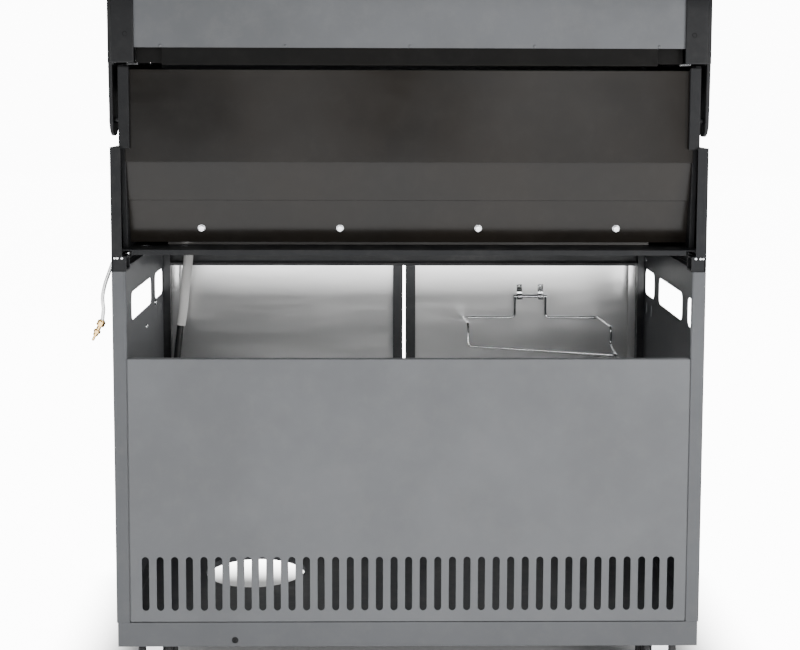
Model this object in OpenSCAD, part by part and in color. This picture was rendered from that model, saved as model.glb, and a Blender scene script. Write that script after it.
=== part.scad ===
// Gas barbecue grill on a cabinet cart: roll-top hood with cast end caps, enamelled firebox with four
// burners, a control panel with five knobs, two cabinet doors and a vented back panel.
// Front faces -Y, the vented back panel faces +Y, and the floor is at z = 0.

/* [Cart] */
// Width of the cart body
cart_w = 900; // [780:5:1080]
// Depth of the cart body, back panel to front posts
cart_d = 500; // [440:5:600]
// Height of the cart body above the casters
cart_h = 584; // [520:2:680]
// Thickness of the steel sheet
sheet = 1.5; // [1:0.1:2]
// Height of the base tray's flange
base_flange = 38; // [30:1:50]
// Top edge of the back panel above the cart's bottom
back_h = 450; // [380:5:500]
// Width of the side panels' rear flange
flange_w = 20; // [15:1:30]
// Radius of the gas bottle hole in the base
bottle_r = 84; // [70:1:105]
// Sideways place of the gas bottle hole
bottle_x = 257; // [220:1:280]
// Distance of the gas bottle hole's centre from the back
bottle_depth = 238; // [200:1:260]

/* [Vent slots and windows] */
// Number of vent slots in the back panel
slot_count = 37; // [21:2:37]
// Distance between vent slots
slot_pitch = 22.5; // [16:0.5:23]
// Width of a vent slot
slot_w = 11; // [6:0.5:12]
// Height of a vent slot
slot_h = 85; // [60:1:100]
// Height of the slots' lower ends above the cart's bottom
slot_z = 57; // [50:1:80]
// Height of the side windows
window_h = 47; // [35:1:55]
// Distance from the side panels' top down to the windows
window_drop = 54; // [45:1:70]
// Corner radius of the windows
window_r = 12; // [6:1:16]

/* [Front frame and doors] */
// Depth of the front posts
post_d = 20; // [15:1:30]
// Width of the front posts
post_w = 13.5; // [12:0.5:20]
// Height of the front top rail
rail_h = 50; // [40:1:60]
// Thickness of a door
door_t = 17; // [14:1:22]
// Gap between the doors' edge trims
door_gap = 5.6; // [4:0.2:8]
// Width of the black edge trim on each door
trim_w = 18; // [15:1:24]
// Radius of the door hinge pins
pin_r = 3; // [2.5:0.25:3.5]
// Radial clearance of a turning fit
fit = 0.05; // [0.03:0.01:0.08]

/* [Casters] */
// Height of the casters
caster_h = 80; // [70:1:100]
// Radius of the caster wheels
wheel_r = 38; // [30:1:38]
// Distance of the caster centres from the cart's edges
caster_in = 51; // [50:1:80]
// Trail of the wheel axle behind the swivel axis
trail = 22; // [15:1:22]

/* [Firebox] */
// Height of the firebox from the heat shield to its top edge
firebox_h = 271; // [250:1:300]
// Height of the heat shield above the cart's top
shield_up = 33; // [30:1:45]
// Thickness of the firebox end castings
end_t = 8; // [6:0.5:10]
// Height of the cooking surface above the heat shield
cook_up = 198; // [180:1:210]
// Height of the side casings above the cart's top
casing_h = 188; // [160:1:200]
// Width of the side casings' flanges
casing_w = 16; // [14:1:17]
// Distance between burners
burner_pitch = 213; // [180:1:240]
// Radius of a burner tube
burner_r = 22; // [18:1:25]
// Height of the burners above the heat shield
burner_up = 118; // [112:1:124]

/* [Controls] */
// Radius of a control knob
knob_r = 24; // [20:1:28]
// Length of a control knob
knob_l = 24; // [20:1:30]
// Radius of a valve stem
stem_r = 4; // [3:0.25:5]
// How far a knob pushes in
knob_push = 3; // [2:0.5:4]

/* [Hood] */
// Height of the hood's top above the cart's top
hood_up = 536; // [500:1:600]
// Radius of the hood's rear curve
hood_rear_r = 145; // [120:5:160]
// Radius of the hood's front curve
hood_front_r = 180; // [140:5:200]
// Thickness of the cast end caps' side wall
cap_t = 6; // [5:0.5:8]
// Width of the cast rim over the hood skin
cap_rim = 33; // [25:1:40]
// Radius of the hood handle tube
handle_r = 12.5; // [10:0.5:14]
// Radius of the hood hinge pins
hood_pin_r = 5; // [4:0.25:6]

/* [Gas line] */
// Radius of the gas hose
hose_r = 7; // [5:0.25:8]
// Radius of the hose with its heat sleeve
sleeve_r = 8.25; // [6:0.25:9]
// Radius of the side burner's feed pipe
pipe_r = 3; // [2:0.25:4]

/* [Hidden] */
$fn = 48;
half_w = cart_w / 2;
rear_y = 278;
front_y = rear_y - cart_d;
base_z = caster_h;
floor_z = base_z + base_flange;
cart_top = base_z + cart_h;
post_y = front_y + post_d;
door_back = front_y - 3;
door_front = door_back - door_t;
door_lo = base_z + 10;
door_hi = cart_top - 6;
hinge_x = half_w - 7;
hinge_y = front_y - 9;
shield_z = cart_top + shield_up;
box_top = shield_z + firebox_h;
box_rear = rear_y - 14;
box_front = front_y + 45;
end_x = half_w - 12.5;
wall_x = end_x - end_t;
cook_z = shield_z + cook_up;
burner_z = shield_z + burner_up;
tamer_z = cook_z - 72;
casing_top = cart_top + casing_h;
foot_h = 23;
panel_front = front_y - 28;
panel_lo = cart_top + 61;
panel_hi = panel_lo + 205;
knob_y = panel_front - 6;
knob_x = [-1.5 * burner_pitch, -0.5 * burner_pitch, 0.5 * burner_pitch, 1.5 * burner_pitch, half_w - 55];
hood_rear = rear_y - 8;
hood_front = front_y + 20;
hood_top = cart_top + hood_up;
skin_low = box_top + 33;
hood_low = panel_hi + 6;
dial_z = hood_top - hood_front_r - 20;
cap_low = box_top + 10;
cap_x = half_w - 4;
cap_hole_x = cap_x - cap_rim + 13;
rim_t = 4;
pivot_y = rear_y - 34;
pivot_z = box_top - 76;
handle_y = hood_front - 54;
handle_z = hood_low + 62;
windows = [[33, 85], [157, 194], [391, 85]];
caster_xy = [for (x = [-1, 1], y = [front_y + caster_in, rear_y - caster_in]) [x * (half_w - caster_in), y]];
feed_x = half_w - 6.5;
holder_x = -half_w + 212;
holder_z = cart_top - 112;
manifold_z = burner_z - 26;
// Course of the gas hose, from the manifold's elbow to the regulator
hose_path = [
    [396, -188, 775], [396, -188, 740], [396, -188, 700], [397, -188, 660], [400, -188, 620],
    [405, -187, 580], [409, -186, 540], [414, -185, 505], [419, -182, 460], [422, -178, 420],
    [422, -171, 380], [419, -161, 340], [412, -148, 300], [401, -134, 262], [387, -121, 228],
    [370, -110, 198], [349, -101, 172], [325, -95, 151], [298, -92, 138], [270, -91, 131],
    [242, -91, 128], [215, -91, 128]
];
sleeve_points = 8;
// Course of the side burner's feed pipe, from the right casing to the orifice
pipe_path = [
    [450, 178, 678], [456, 178, 677], [462, 178, 673], [467, 178, 666], [471, 178, 656],
    [475, 178, 645], [479, 178, 634], [482, 178, 623], [484, 178, 612], [484, 178, 602],
    [483, 178, 592], [484, 178, 582], [485, 178, 573]
];

// A block between two planes along each axis
module block(x, y, z) {
    translate([x[0], y[0], z[0]])
        cube([x[1] - x[0], y[1] - y[0], z[1] - z[0]]);
}

// A side outline drawn as (y, z) and carried along X from x0 to x1
module along_x(x0, x1) {
    translate([x0, 0, 0])
        rotate([90, 0, 90])
            linear_extrude(x1 - x0)
                children();
}

// The part drawn for the +X side, or its mirror image
module handed(side) {
    mirror([side < 0 ? 1 : 0, 0, 0])
        children();
}

// A round rod between two points
module rod(a, b, r) {
    v = b - a;
    translate(a)
        rotate([0, acos(v.z / norm(v)), atan2(v.y, v.x)])
            cylinder(h = norm(v), r = r, $fn = 20);
}

// A bent wire through a list of points, with ball corners a little proud of the wire
module wire(points, r) {
    for (i = [0 : len(points) - 2])
        rod(points[i], points[i + 1], r);
    for (p = points)
        translate(p)
            sphere(r = r + 0.15, $fn = 20);
}

// A cylinder along Y from y0 to y1
module barrel_y(x, z, r, y0, y1) {
    translate([x, y0, z])
        rotate([-90, 0, 0])
            cylinder(h = y1 - y0, r = r);
}

// A cylinder along X from x0 to x1
module barrel_x(y, z, r, x0, x1) {
    translate([x0, y, z])
        rotate([0, 90, 0])
            cylinder(h = x1 - x0, r = r);
}

// A rectangle with round corners, centred
module round_rect(w, h, r) {
    square([w - 2 * r, h], center = true);
    square([w, h - 2 * r], center = true);
    for (x = [-1, 1], y = [-1, 1])
        translate([x * (w / 2 - r), y * (h / 2 - r)])
            circle(r = r, $fn = 32);
}

// Points of an arc about (cy, cz)
function arc(cy, cz, r, a0, a1, n) =
    [for (i = [0 : n]) [cy + r * cos(a0 + (a1 - a0) * i / n), cz + r * sin(a0 + (a1 - a0) * i / n)]];

function unit(v) = v / norm(v);

// A bent wire of flat-sided rods that run a little past each corner
module flat_wire(points, r)
    for (i = [0 : len(points) - 2])
        let (d = r * 0.8 * unit(points[i + 1] - points[i]), a = points[i] - d, v = points[i + 1] + d - a)
        translate(a)
            rotate([0, acos(v.z / norm(v)), atan2(v.y, v.x)])
                cylinder(h = norm(v), r = r, $fn = 8);

// One point of a smooth curve through the points p, at a share t of the way from p[i] to p[i + 1]
function spline_point(p, i, t) =
    let (a = p[max(i - 1, 0)], b = p[i], c = p[i + 1], d = p[min(i + 2, len(p) - 1)])
    0.5 * (2 * b + (c - a) * t + (2 * a - 5 * b + 4 * c - d) * t * t + (3 * b - 3 * c + d - a) * t * t * t);

function spline(p, steps) = concat(
    [for (i = [0 : len(p) - 2], k = [0 : steps - 1]) spline_point(p, i, k / steps)], [p[len(p) - 1]]);

function tangent(c, i) = unit(c[min(i + 1, len(c) - 1)] - c[max(i - 1, 0)]);

// A round tube swept along the curve c; up is never in line with the curve
module sweep(c, r, up, sides = 10) {
    rings = [for (i = [0 : len(c) - 1])
        let (t = tangent(c, i), u = unit(cross(t, up)), v = cross(t, u))
        for (k = [0 : sides - 1]) c[i] + r * (cos(360 * k / sides) * u + sin(360 * k / sides) * v)];
    last = (len(c) - 1) * sides;
    walls = [for (i = [0 : len(c) - 2], k = [0 : sides - 1])
        let (a = i * sides + k, b = i * sides + (k + 1) % sides) [a, b, b + sides, a + sides]];
    polyhedron(rings, concat(walls, [[for (k = [sides - 1 : -1 : 0]) k], [for (k = [0 : sides - 1]) last + k]]));
}

module base_panel() color("#76787b") {
    x = half_w - sheet;
    difference() {
        block([-x, x], [front_y, rear_y], [base_z, floor_z]);
        block([-x + sheet, x - sheet], [front_y + sheet, rear_y - sheet], [base_z - 1, floor_z - sheet]);
        translate([bottle_x, rear_y - bottle_depth, floor_z - sheet - 1])
            cylinder(h = sheet + 2, r = bottle_r, $fn = 96);
    }
    // Rolled lip round the bottle hole
    translate([bottle_x, rear_y - bottle_depth, floor_z - 10])
        difference() {
            cylinder(h = 10, r = bottle_r + sheet, $fn = 96);
            translate([0, 0, -1])
                cylinder(h = 12, r = bottle_r, $fn = 96);
        }
    // Doublers that the casters bolt to
    for (c = caster_xy)
        block([c.x - 32, c.x + 32], [c.y - 32, c.y + 32], [base_z, base_z + 3]);
    for (c = caster_xy)
        block([c.x - 6, c.x + 6], [c.y - 32, c.y + 32], [base_z + 2, floor_z - sheet + 0.5]);
}

module side_panel(side) color("#76787b") handed(side) {
    difference() {
        union() {
            block([half_w - sheet, half_w], [front_y, rear_y], [floor_z, cart_top]);
            block([half_w - flange_w, half_w], [rear_y - sheet, rear_y], [floor_z, cart_top]);
            block([half_w - 15, half_w], [post_y + 1, rear_y], [floor_z, floor_z + sheet]);
            block([half_w - 12, half_w], [post_y + 1, rear_y], [cart_top - sheet, cart_top]);
        }
        for (w = windows)
            translate([0, rear_y - w[0] - w[1] / 2, cart_top - window_drop - window_h / 2])
                rotate([90, 0, 90])
                    translate([0, 0, half_w - sheet - 1])
                        linear_extrude(sheet + 2)
                            round_rect(w[1], window_h, window_r);
        // Oblong holes and a round hole near the front post
        for (d = [413, 457])
            translate([0, rear_y - d, cart_top - 125])
                rotate([90, 0, 90])
                    translate([0, 0, half_w - sheet - 1])
                        linear_extrude(sheet + 2)
                            round_rect(5, 20, 2.4);
        barrel_x(rear_y - 471, cart_top - 38, 4, half_w - sheet - 1, half_w + 1);
    }
}

module back_panel() color("#77797c") {
    x = half_w - flange_w - 2;
    z0 = floor_z + 1.6;
    z1 = base_z + back_h;
    difference() {
        union() {
            block([-x, x], [rear_y - sheet, rear_y], [z0, z1]);
            block([-x, x], [rear_y - 14, rear_y], [z1 - sheet, z1]);
            block([-x, x], [rear_y - 14, rear_y - 14 + sheet], [z1 - 8, z1]);
            for (s = [-1, 1])
                handed(s) {
                    block([x - sheet, x], [rear_y - 2 * sheet - 0.2, rear_y], [z0, z1]);
                    block([x - sheet, x + 14], [rear_y - 2 * sheet - 0.2, rear_y - sheet - 0.2],
                        [floor_z + sheet + 0.3, z1]);
                }
        }
        for (i = [0 : slot_count - 1])
            translate([(i - (slot_count - 1) / 2) * slot_pitch, rear_y + 1, base_z + slot_z + slot_h / 2])
                rotate([90, 0, 0])
                    linear_extrude(sheet + 2)
                        round_rect(slot_w, slot_h, slot_w / 2 - 0.01);
    }
}

module front_frame() color("#2a2b2d") {
    x1 = half_w - sheet;
    x0 = x1 - post_w;
    for (s = [-1, 1])
        handed(s) {
            difference() {
                block([x0, x1], [front_y, post_y], [floor_z, cart_top]);
                block([x0 + sheet, x1 - sheet], [front_y + sheet, post_y - sheet], [floor_z - 1, cart_top - sheet]);
            }
            // Hinge lugs above and below the door
            for (z = [door_lo - 5.5, door_hi + 1.5])
                difference() {
                    union() {
                        block([hinge_x - 6, hinge_x + 4], [hinge_y, front_y], [z, z + 4]);
                        translate([hinge_x, hinge_y, z])
                            cylinder(h = 4, r = 4);
                    }
                    translate([hinge_x, hinge_y, z - 1])
                        cylinder(h = 6, r = pin_r);
                }
            block([x0, x1], [front_y - 1, front_y], [door_lo - 5.5, floor_z + 10]);
            block([x0, x1], [front_y - 1, front_y], [door_hi + 1.5, cart_top]);
        }
    // Top rail, a channel open to the back with turned-in lips
    z0 = cart_top - rail_h;
    block([-x0, x0], [front_y, front_y + sheet], [z0, cart_top]);
    block([-x0, x0], [front_y, post_y], [z0, z0 + sheet]);
    block([-x0, x0], [front_y, post_y], [cart_top - sheet, cart_top]);
    block([-x0, x0], [post_y - sheet, post_y], [z0, z0 + 5]);
    block([-x0, x0], [post_y - sheet, post_y], [cart_top - 26, cart_top]);
    // Door magnets under the rail's front
    for (s = [-1, 1])
        handed(s)
            block([30, 70], [front_y - 1.5, front_y], [z0 + 8, z0 + 24]);
}

// A pan head screw whose head stands off a face looking along +Y
module screw_y(p, r, h) {
    translate(p)
        rotate([-90, 0, 0])
            rotate_extrude()
                polygon(concat([[0, 0], [r, 0]], [for (a = [0 : 15 : 90]) [r * cos(a), h * sin(a)]]));
}

module screws() color("#c9cbcd") {
    // Burner bolts in the lower rear wall, square to the leaning sheet
    for (i = [-1.5 : 1 : 1.5])
        translate([i * burner_pitch, box_rear - 32.7, shield_z + 29])
            rotate([-13.2, 0, 0])
                screw_y([0, 0, 0], 7, 4);
    // Base flange and feet
    screw_y([268, rear_y, base_z + 10], 5, 2);
    for (s = [-1, 1], x = [half_w - 4, half_w - 8.5, half_w - 15.5])
        screw_y([s * x, rear_y - 2, cart_top + 20.5], 2.2, 2);
    // Inner side of the right side panel
    for (p = [[292, -133], [389, -106]])
        translate([half_w - sheet, rear_y - p[0], cart_top + p[1]])
            rotate([0, 0, 90])
                screw_y([0, 0, 0], 5, 4);
}

module caster_plates() color("#b9bcbf")
    for (c = caster_xy)
        translate([c.x, c.y, 0])
            difference() {
                union() {
                    block([-30, 30], [-30, 30], [base_z - 3, base_z]);
                    translate([0, 0, base_z - 12])
                        cylinder(h = 10, r = 10.5);
                }
                translate([0, 0, base_z - 13])
                    cylinder(h = 12, r = 6 + fit);
            }

// Twin-wheel caster: the wheel axle trails behind the swivel axis, towards the cart's middle
module caster_at(n) {
    c = caster_xy[n - 1];
    translate([c.x, c.y, 0])
        rotate([0, 0, c.y > 0 ? 180 : 0])
            children();
}

module caster_body(n) color("#c4c7ca") caster_at(n) {
    translate([0, 0, base_z - 14])
        cylinder(h = 12, r = 6);
    // Spine that carries the axle
    difference() {
        union() {
            translate([-13, trail, wheel_r])
                rotate([0, 90, 0])
                    cylinder(h = 26, r = 22);
            block([-13, 13], [-12, trail + 12], [wheel_r, base_z - 13]);
        }
        block([-14, 14], [-40, 80], [base_z - 13, base_z + 5]);
    }
    translate([-27, trail, wheel_r])
        rotate([0, 90, 0])
            cylinder(h = 54, r = 5);
}

module caster_wheels(n) color("#1d1e20") caster_at(n)
    for (s = [-1, 1])
        handed(s)
            translate([0, trail, wheel_r])
                rotate([0, 90, 0])
                    translate([0, 0, 14])
                        rotate_extrude($fn = 72)
                            polygon(concat(
                                [[5 + fit, 0], [wheel_r - 3, 0]],
                                arc(wheel_r - 3, 3, 3, -90, 0, 4),
                                arc(wheel_r - 5, 8, 5, 0, 90, 5),
                                [[26, 13], [24, 10], [12, 10], [10, 13], [5 + fit, 13]]));

module door(side) color("#c6c8ca") handed(side) {
    x0 = door_gap / 2 + 6;
    x1 = half_w - 2;
    t = 1.2;
    block([x0, x1], [door_front, door_front + t], [door_lo, door_hi]);
    block([x0, x0 + t], [door_front, door_back], [door_lo, door_hi]);
    block([x1 - t, x1], [door_front, door_back - 0.8], [door_lo, door_hi]);
    block([x1 - 26, x1], [door_back - 2, door_back - 0.8], [door_lo, door_hi]);
    for (z = [door_lo, door_hi - t])
        difference() {
            block([x0, x1], [door_front, door_back - 0.8], [z, z + t]);
            translate([hinge_x, hinge_y, z - 1])
                cylinder(h = t + 2, r = pin_r + fit);
        }
}

module door_trim(side) color("#2c2d2f") handed(side) {
    x0 = door_gap / 2;
    x1 = x0 + trim_w;
    slot_x = x0 + 5.8;
    y1 = door_back + 1.5;
    y2 = door_back + 0.2;
    y3 = door_front - 0.2;
    grip = door_front - 20;
    translate([0, 0, door_lo - 2])
        linear_extrude(door_hi - door_lo + 4)
            polygon([[x0, y1], [x1, y1], [x1, y2], [slot_x, y2], [slot_x, y3], [x1, y3], [x1, y3 - 2],
                [x0 + 8, y3 - 5], [x0 + 8, grip + 5], [x1, grip + 3], [x1, grip], [x0, grip]]);
}

module hinge_pins() color("#a9acae") {
    for (s = [-1, 1])
        handed(s) {
            for (z = [door_lo - 5.5, door_hi - 6.5])
                translate([hinge_x, hinge_y, z])
                    cylinder(h = 12, r = pin_r);
            barrel_x(pivot_y, pivot_z, hood_pin_r, end_x - 4, cap_x + cap_t + 1);
            barrel_x(pivot_y, pivot_z, hood_pin_r + 4, cap_x + cap_t + 0.5, cap_x + cap_t + 3);
        }
}

module holder_clips() color("#d5d7d9")
    for (x = [-20, 20])
        translate([holder_x + x, door_front + 1.2, holder_z])
            difference() {
                union() {
                    block([-5, 5], [0, 1.5], [-6, 22]);
                    block([-5, 5], [0, 16], [-6, 6]);
                    rod([0, 1, 15], [0, 4, 15], 4);
                }
                barrel_x(9, 0, 3 + fit, -6, 6);
                block([-6, 6], [11.5, 17], [-7, 7]);
            }

module wire_holder() color("#d5d7d9") {
    y = door_front + 10.2;
    r = 2.2;
    xl = holder_x - 127;
    xr = holder_x + 127;
    barrel_x(y, holder_z, 3, holder_x - 32, holder_x + 32);
    flat_wire([[holder_x - 29, y, holder_z], [holder_x - 29, y, holder_z - 40], [xl, y, holder_z - 40],
        [xl, y + 158, holder_z - 32], [xl, y + 158, holder_z - 64], [xl, y + 225, holder_z - 70],
        [xr, y + 170, holder_z - 64], [xr, y + 158, holder_z - 26], [xr, y, holder_z - 40],
        [holder_x + 29, y, holder_z - 40], [holder_x + 29, y, holder_z]], r);
}

module firebox_rear() color("#232324") {
    y0 = box_rear;
    fold_1 = box_top - 139;
    fold_2 = box_top - 198;
    low = shield_z + 7;
    t = sheet;
    x = wall_x - 0.1;
    along_x(-x, x)
        polygon([[y0, box_top], [y0, fold_1], [y0 - 8, fold_1], [y0 - 20, fold_2], [y0 - 22.5, fold_2],
            [y0 - 38, low], [y0 - 53, low], [y0 - 53, low + t], [y0 - 38 - t, low + t],
            [y0 - 22.5 - t, fold_2 + t], [y0 - 20 - t, fold_2 + t], [y0 - 8 - t, fold_1 + t], [y0 - t, fold_1 + t],
            [y0 - t, box_top - t], [y0 - 12, box_top - t], [y0 - 12, box_top]]);
    // Ledges for the cooking grates and the flame tamers
    block([-x + 4, x - 4], [y0 - 26, y0 - t / 2], [cook_z - 12 - t, cook_z - 12]);
    block([-x + 4, x - 4], [y0 - 42, y0 - 10.2], [tamer_z - t, tamer_z]);
}

module firebox_front() color("#232324") {
    x = wall_x - 0.1;
    difference() {
        union() {
            block([-x, x], [box_front, box_front + sheet], [shield_z + 25, box_top]);
            block([-x, x], [box_front, box_front + 16], [cook_z - 12 - sheet, cook_z - 12]);
            block([-x, x], [box_front, box_front + 30], [tamer_z - sheet, tamer_z]);
            block([-x, x], [box_front - 10, box_front + sheet], [box_top - sheet, box_top]);
        }
        for (i = [0 : 3])
            barrel_y(knob_x[i], burner_z, 15, box_front - 2, box_front + 31);
    }
}

module firebox_end(side) color("#1f2021") handed(side)
    difference() {
        union() {
            along_x(wall_x, end_x)
                polygon(concat(
                    [[rear_y - 30, shield_z], [rear_y - 18, box_top - 120]],
                    arc(rear_y - 14, box_top, 8, 0, 90, 6),
                    arc(box_front - 8, box_top, 8, 90, 180, 6),
                    [[box_front - 16, shield_z + 25], [box_front + 20, shield_z]]));
            block([wall_x - 8, end_x], [box_rear + 0.1, rear_y - 6], [box_top - 118, box_top + 4]);
            block([wall_x - 4, wall_x + 1], [box_front + 20, rear_y - 50], [cook_z - 18, cook_z - 12]);
        }
        barrel_x(pivot_y, pivot_z, hood_pin_r, end_x - 4, end_x + 1);
    }

module side_casing(side) color("#262728") handed(side) {
    x1 = half_w;
    x0 = x1 - casing_w;
    z0 = cart_top + foot_h;
    difference() {
        union() {
            block([x1 - sheet, x1], [post_y, rear_y], [cart_top + 0.5, casing_top]);
            block([x0, x1], [rear_y - sheet, rear_y], [z0, casing_top]);
            block([end_x + 0.5, x1], [post_y, rear_y], [casing_top - sheet, casing_top]);
            block([x0, x1], [post_y, rear_y], [z0, z0 + sheet]);
        }
        // Side shelf bolt holes
        for (y = [rear_y - 400, rear_y - 100], z = [casing_top - 110, casing_top - 20])
            barrel_x(y, z, 3.3, x1 - sheet - 1, x1 + 1);
        // Way out for the side burner's feed pipe
        if (side > 0)
            barrel_x(pipe_path[0].y, pipe_path[0].z, pipe_r + 2, x1 - sheet - 1, x1 + 1);
        if (side > 0)
            translate([feed_x, pipe_path[0].y, z0 - 1])
                cylinder(h = sheet + 2, r = pipe_r + 1.5);
    }
}

module foot_brackets() color("#1b1c1d")
    for (s = [-1, 1], y = [rear_y - 34, post_y + 4])
        handed(s)
            difference() {
                block([half_w - 22, half_w - sheet - 0.1], [y, y + 32], [cart_top, cart_top + foot_h]);
                block([half_w - 30, half_w - 5], [y + 3, y + 29], [cart_top + 3, cart_top + foot_h - 3]);
            }

module heat_shield() color("#1d1e1f") {
    x = end_x + 2.5;
    y0 = box_front + 15;
    y1 = rear_y - 4;
    difference() {
        union() {
            block([-x, x], [y0, y1], [shield_z - sheet, shield_z]);
            block([-x + 20, x - 20], [y1 - sheet, y1], [shield_z - 8, shield_z]);
            for (s = [-1, 1])
                handed(s)
                    block([x - sheet, x], [y0, y1], [cart_top + foot_h + sheet, shield_z]);
        }
        for (x = [half_w - 43, half_w - 102])
            translate([x, rear_y - 62, shield_z - 5])
                cylinder(h = 10, r = 8);
    }
}

module drip_tray() color("#8e9092") {
    x = hose_path[0].x - 20;
    y0 = front_y + 2;
    y1 = rear_y - 76;
    z0 = shield_z + 0.2;
    difference() {
        block([-x, x], [y0, y1], [z0, z0 + 18]);
        block([-x + sheet, x - sheet], [y0 + sheet, y1 - sheet], [z0 + sheet, z0 + 19]);
    }
    // Front face with a turned-out finger lip
    block([-end_x, end_x], [y0 - 6, y0 - 6 + sheet], [cart_top + 3, panel_lo - 3]);
    block([-x, x], [y0 - 6, y0 + 1], [z0, z0 + sheet]);
    block([-120, 120], [y0 - 20, y0 - 5], [panel_lo - 11 - sheet, panel_lo - 11]);
}

module burners() color("#b0aea8")
    for (i = [0 : 3])
        difference() {
            union() {
                barrel_y(knob_x[i], burner_z, burner_r, box_front + 45, rear_y - 62);
                barrel_y(knob_x[i], burner_z, 12.5, box_front - 8, box_front + 46);
                // Rear leg, bolted to the firebox's lower wall
                block([knob_x[i] - 10, knob_x[i] + 10], [rear_y - 66, rear_y - 63], [shield_z + 24, burner_z]);
                block([knob_x[i] - 10, knob_x[i] + 10], [rear_y - 66, box_rear - 36.2],
                    [shield_z + 24, shield_z + 33]);
            }
            barrel_y(knob_x[i], burner_z, 10.5, box_front - 9, box_front + 40);
            barrel_y(knob_x[i], burner_z, burner_r - 1.5, box_front + 47, rear_y - 64);
        }

module flame_tamers() color("#8c8984")
    for (i = [0 : 3])
        translate([knob_x[i], box_rear - 20, tamer_z + 10.1])
            rotate([90, 0, 0])
                linear_extrude(box_rear - 20 - box_front - 8)
                    polygon([[-70, -10], [-66, -10], [0, 23], [66, -10], [70, -10], [70, -8.5], [67, -8.5],
                        [0, 25], [-67, -8.5], [-70, -8.5]]);

module cooking_grates() color("#2b2b2b") {
    count = 3;
    w = 2 * (wall_x - 6) / count - 2;
    y0 = box_front + 3;
    y1 = box_rear - 14;
    bars = 13;
    for (g = [0 : count - 1])
        translate([(g - (count - 1) / 2) * (w + 2), 0, 0]) {
            for (y = [y0, y1 - 12, (y0 + y1) / 2 - 5])
                block([-w / 2, w / 2], [y, y + 12], [cook_z - 11.9, cook_z - 2]);
            for (b = [0 : bars - 1])
                block([-w / 2 + b * (w - 9) / (bars - 1), -w / 2 + 9 + b * (w - 9) / (bars - 1)], [y0, y1],
                    [cook_z - 10, cook_z]);
        }
}

module warming_rack() color("#c9cbcd") {
    x = wall_x - 8;
    z = box_top + 70;
    foot_z = box_top + 10.2;
    y0 = box_rear - 190;
    y1 = box_rear - 60;
    for (i = [0 : 8])
        rod([-x, y0 + i * (y1 - y0) / 8, z], [x, y0 + i * (y1 - y0) / 8, z], i % 8 == 0 ? 3 : 2);
    for (s = [-1, 1])
        wire([[s * x, y0, foot_z], [s * x, y0, z], [s * x, y1, z], [s * x, y1, foot_z]], 3);
    for (s = [-1, 0, 1])
        rod([s * x * 0.5, y0, z - 2], [s * x * 0.5, y1, z - 2], 2);
    // Feet that rest on the end castings
    for (s = [-1, 1])
        handed(s)
            block([x - 4, wall_x + 5], [y0 - 8, y1 + 8], [foot_z - 2, foot_z + 2]);
}

function panel_points(t) = [
    [front_y + 20, panel_lo + t], [panel_front + 14 + t / 2, panel_lo + t], [panel_front + t, panel_lo + 20 + t / 2],
    [panel_front + t, panel_hi - 50], [panel_front + 35 + t / 2, panel_hi - t], [front_y + 20, panel_hi - t]];

module control_panel() color("#b9bbbd")
    difference() {
        along_x(-half_w, half_w)
            polygon(panel_points(0));
        along_x(-half_w + sheet, half_w - sheet)
            polygon(concat([[front_y + 30, panel_lo + sheet]], panel_points(sheet), [[front_y + 30, panel_hi - sheet]]));
        for (x = knob_x)
            barrel_y(x, burner_z, stem_r + 2, panel_front - 5, panel_front + 10);
    }

module knob_bezels() color("#d0d2d4")
    for (x = knob_x)
        translate([x, panel_front, burner_z])
            rotate([90, 0, 0])
                rotate_extrude($fn = 72)
                    polygon([[knob_r + 2, 0], [knob_r + 9, 0], [knob_r + 8, 3], [knob_r + 4, 5], [knob_r + 2, 5]]);

module valve_stem(n) color("#b8b0a0")
    barrel_y(knob_x[n - 1], burner_z, stem_r, knob_y - knob_l + 8, panel_front + 36);

module knob(n) color("#303133")
    translate([knob_x[n - 1], knob_y, burner_z])
        rotate([90, 0, 0])
            difference() {
                union() {
                    rotate_extrude($fn = 72)
                        polygon(concat([[0, 0], [knob_r, 0], [knob_r, 4], [knob_r - 4, 7]],
                            [[knob_r - 6, knob_l - 5], [knob_r - 8, knob_l - 3], [0, knob_l - 3]]));
                    // Grip bar across the face
                    block([-4.5, 4.5], [-knob_r + 6, knob_r - 6], [knob_l - 5, knob_l]);
                }
                translate([0, 0, -1])
                    cylinder(h = knob_l - 5, r = stem_r + fit);
                rotate_extrude()
                    polygon([[stem_r + 3, -1], [knob_r - 4, -1], [knob_r - 5, 5], [stem_r + 3, 8]]);
            }

module manifold() color("#8f9194") {
    y = front_y + 18;
    z = manifold_z;
    barrel_x(y, z, 9, -end_x + 40, hose_path[0].x + 12);
    // Elbow that the hose hangs from
    rod([hose_path[0].x, y, z], [hose_path[0].x, hose_path[0].y, z], 8);
    translate([hose_path[0].x, hose_path[0].y, z])
        sphere(r = 9.5);
    rod([hose_path[0].x, hose_path[0].y, z], hose_path[0], 8);
    // Side burner's feed, held inside the right casing
    wire([[hose_path[0].x + 8, y, z], [feed_x, y + 6, z], [feed_x, pipe_path[0].y, z],
        [feed_x, pipe_path[0].y, pipe_path[0].z]], pipe_r);
    rod([feed_x, pipe_path[0].y, pipe_path[0].z], pipe_path[0], pipe_r);
}

module gas_valves() color("#b39a5a")
    for (i = [0 : len(knob_x) - 1])
        translate([knob_x[i], front_y + 18, burner_z])
            difference() {
                union() {
                    block([-11, 11], [-22, 8], [-16.9, 14]);
                    if (i < 4)
                        rod([0, 7, 0], [0, 25, 0], 4);
                }
                rod([0, -24, 0], [0, -2, 0], stem_r + fit);
            }

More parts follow.
